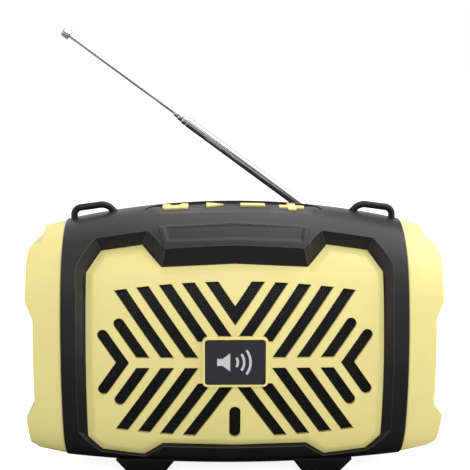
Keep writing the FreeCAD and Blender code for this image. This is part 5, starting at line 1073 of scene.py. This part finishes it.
RUBBER = moulded(
    "foot_rubber", (0.010, 0.010, 0.010), 0.72, 1.4, grain_depth=0.03 * MM, edge=0.4 * MM, grain_scale=1500)
FOOT_LOW = ((34.0 * MM, 53.2 * MM), (-15.3 * MM, 21.0 * MM))
FOOT_FLARE = ((-5.4 * MM, 5.4 * MM), (-6.8 * MM, 3.2 * MM))
right_foot = block(*FOOT_LOW, (0, 8.5 * MM))
for point in right_foot.data.vertices:
    if point.co.z > 1 * MM:
        for axis in (0, 1):
            point.co[axis] += FOOT_FLARE[axis][1 if point.co[axis] > sum(FOOT_LOW[axis]) / 2 else 0]
bevelled(right_foot, 1.0 * MM, 4)
shape_with(right_foot, barrel(-SEAM, SEAM, slices=42))
finished_pair(right_foot, "right", "foot", "foot", RUBBER)


# Antenna: a chromed telescopic mast on a hinge. Three tubes and a rod slide in each other; each tube's end
# is rolled in to hold the next, and a small knob closes the tip.

MAST_PIVOT = Vector((45.7 * MM, 28.0 * MM, 121.7 * MM))
MAST_LEAN = 36.3  # degrees from the level
CHROME = coated("chrome", (0.60, 0.60, 0.61), 0.08, 1.0, 0.05 * MM, 9000, 0.0001 * MM)


def lathed(profile, sides=40):
    """A body of revolution about Z from a closed outline of (radius, height) points in millimetres."""
    made = new_mesh(bpy.ops.mesh.primitive_circle_add, vertices=len(profile), fill_type="NOTHING")
    for point, (radius, height) in zip(made.data.vertices, in_mm(profile)):
        point.co = (radius, 0, height)
    mode("EDIT")
    bpy.ops.mesh.select_all(action="SELECT")
    bpy.ops.mesh.spin(steps=sides, angle=2 * math.pi, center=(0, 0, 0), axis=(0, 0, 1))
    bpy.ops.mesh.select_all(action="SELECT")
    bpy.ops.mesh.remove_doubles(threshold=0.01 * MM)
    return turned_outwards(made)


def on_mast(obj):
    """Lays a body drawn upright from the hinge along the leaning mast."""
    turn = Matrix.Rotation(math.radians(MAST_LEAN - 90), 4, "Y")
    obj.data.transform(Matrix.Translation(MAST_PIVOT) @ turn)
    return obj


def tube_profile(radius, start, end, bore):
    """A tube's outline: a rolled-in end with a fine groove behind it."""
    wall = radius - 0.3
    groove = end - 2.6
    deep = radius - 0.16
    lip = end - 1.6
    return [
        (wall, start), (radius, start), (radius, groove - 0.35), (deep, groove - 0.15),
        (deep, groove + 0.15), (radius, groove + 0.35), (radius, end - 0.8), (radius - 0.08, end - 0.35),
        (wall, end), (bore, end), (bore, lip), (wall, lip)]


# Name, body, radius, start, end and bore of each tube, in millimetres like the rod's and the knob's sizes.
MAST_TUBES = (
    ("antenna_outer_tube", "mast", 2.6, 6.0, 87.8, 2.25),
    ("antenna_middle_tube", "mast_middle", 2.15, 9.5, 90.5, 1.8),
    ("antenna_inner_tube", "mast_inner", 1.7, 10.5, 93.2, 1.15),
)
for name, body, radius, start, end, bore in MAST_TUBES:
    tube = on_mast(lathed(tube_profile(radius, start, end, bore)))
    finished(tube, name + "_skin", body, [name], CHROME, 24)

TIP = 163.5
KNOB_START = TIP - 4.6
ROD = 1.05
ROD_START = 86.0
ROD_END = TIP - 1.2
NECK = ROD * 0.7
tip_rod = on_mast(lathed([
    (0, ROD_START), (ROD, ROD_START), (ROD, KNOB_START), (NECK, KNOB_START), (NECK, ROD_END),
    (0, ROD_END)], 28))
finished(tip_rod, "antenna_tip_rod_skin", "mast_tip", ["antenna_tip_rod"], CHROME, 24)
knob = on_mast(lathed([
    (NECK, KNOB_START), (2.0, KNOB_START), (2.45, KNOB_START + 0.25), (2.6, KNOB_START + 0.7),
    (2.6, TIP - 1.3), (2.3, TIP - 0.55), (1.8, TIP - 0.12), (1.2, TIP), (0, TIP), (0, ROD_END),
    (NECK, ROD_END)]))
finished(knob, "antenna_knob_skin", "mast_tip", ["antenna_knob"], CHROME, 24)


# Rear shell: the back half of the barrel, the same black satin plastic, screwed to the front shell from
# behind. Its packed form, with the antenna's groove and the ports' recess, stays.

def dressed(material, *names):
    """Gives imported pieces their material."""
    for name in names:
        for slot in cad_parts[name].material_slots:
            slot.material = material


dressed(BLACK_SATIN, "rear_shell")


# Antenna hinge: a black fork turns in a black socket in the rear shell, held by a screw from below, and the
# mast's chromed tongue tilts in it on a steel pin.

dressed(CHROME, "antenna_tongue")
dressed(moulded("hinge_black", (0.016, 0.016, 0.017), 0.34, 1.5, grain_depth=0.004 * MM, edge=0.25 * MM),
        "antenna_socket", "antenna_swivel")
dressed(coated("pin_steel", (0.56, 0.56, 0.58), 0.22, 1.0), "antenna_hinge_pin", "antenna_screw")


# Drivers: two round speakers behind the baffle, each with a foam gasket, a pressed steel basket, a rubber
# surround, a paper cone and a ferrite magnet, held by four screws.

DRIVER_PARTS = {
    "gasket": moulded(
        "gasket_foam", (0.025, 0.025, 0.027), 0.95, 1.3, grain_depth=0.08 * MM, grain_scale=900),
    "frame": coated("basket_steel", (0.09, 0.09, 0.095), 0.42, 0.6),
    "surround": moulded("surround_rubber", (0.012, 0.012, 0.013), 0.55, 1.45, grain_depth=0.004 * MM),
    "cone": moulded(
        "cone_paper", (0.032, 0.031, 0.030), 0.88, 1.35, grain_depth=0.05 * MM, grain_scale=1200),
    "magnet": moulded(
        "magnet_ferrite", (0.055, 0.054, 0.056), 0.68, 1.6, grain_depth=0.03 * MM, grain_scale=1800),
}
for part, material in DRIVER_PARTS.items():
    dressed(material, f"left_driver_{part}", f"right_driver_{part}")


# Boards: the key board with its four tact switches under the roof, and the main board on two lugs of the rear
# shell, with the radio under a tin shield.

SWITCH_BLACK = moulded("switch_black", (0.03, 0.03, 0.032), 0.45, 1.45)
SHIELD_TIN = coated("shield_tin", (0.66, 0.65, 0.62), 0.32, 1.0)
dressed(moulded("board_green", (0.012, 0.075, 0.03), 0.3, 1.5, grain_depth=0.003 * MM),
        "key_board", "main_board")
dressed(SWITCH_BLACK, "key_switches")
dressed(SHIELD_TIN, "radio_shield")


# Battery: two cells in blue shrink wrap, lying across in a black cradle that is screwed to the rear shell.

dressed(moulded("cell_wrap", (0.02, 0.10, 0.32), 0.3, 1.5, grain_depth=0.002 * MM),
        "lower_battery_cell", "upper_battery_cell")
dressed(moulded("holder_black", (0.025, 0.025, 0.027), 0.5, 1.45), "battery_holder")


# Ports: a black panel let into the back, with a charging socket, a card slot, an audio jack, the power
# slider and a light pipe behind its openings. All of them are soldered to the main board.

dressed(BLACK_SATIN, "port_panel")
dressed(SHIELD_TIN, "charge_socket", "card_slot")
dressed(SWITCH_BLACK, "audio_jack", "power_switch_case", "power_switch_slider")
dressed(moulded("light_pipe", (0.75, 0.78, 0.80), 0.2, 1.5, grain_depth=0.001 * MM), "status_light")


# Screws: zinc-plated pan heads with a crossed drive, from behind into the front shell's posts, from inside
# into the end caps, and into the drivers, boards and cradle.

dressed(coated("screw_zinc", (0.60, 0.60, 0.58), 0.34, 1.0),
        "case_screws", "cap_screws", "driver_screws", "board_screws")
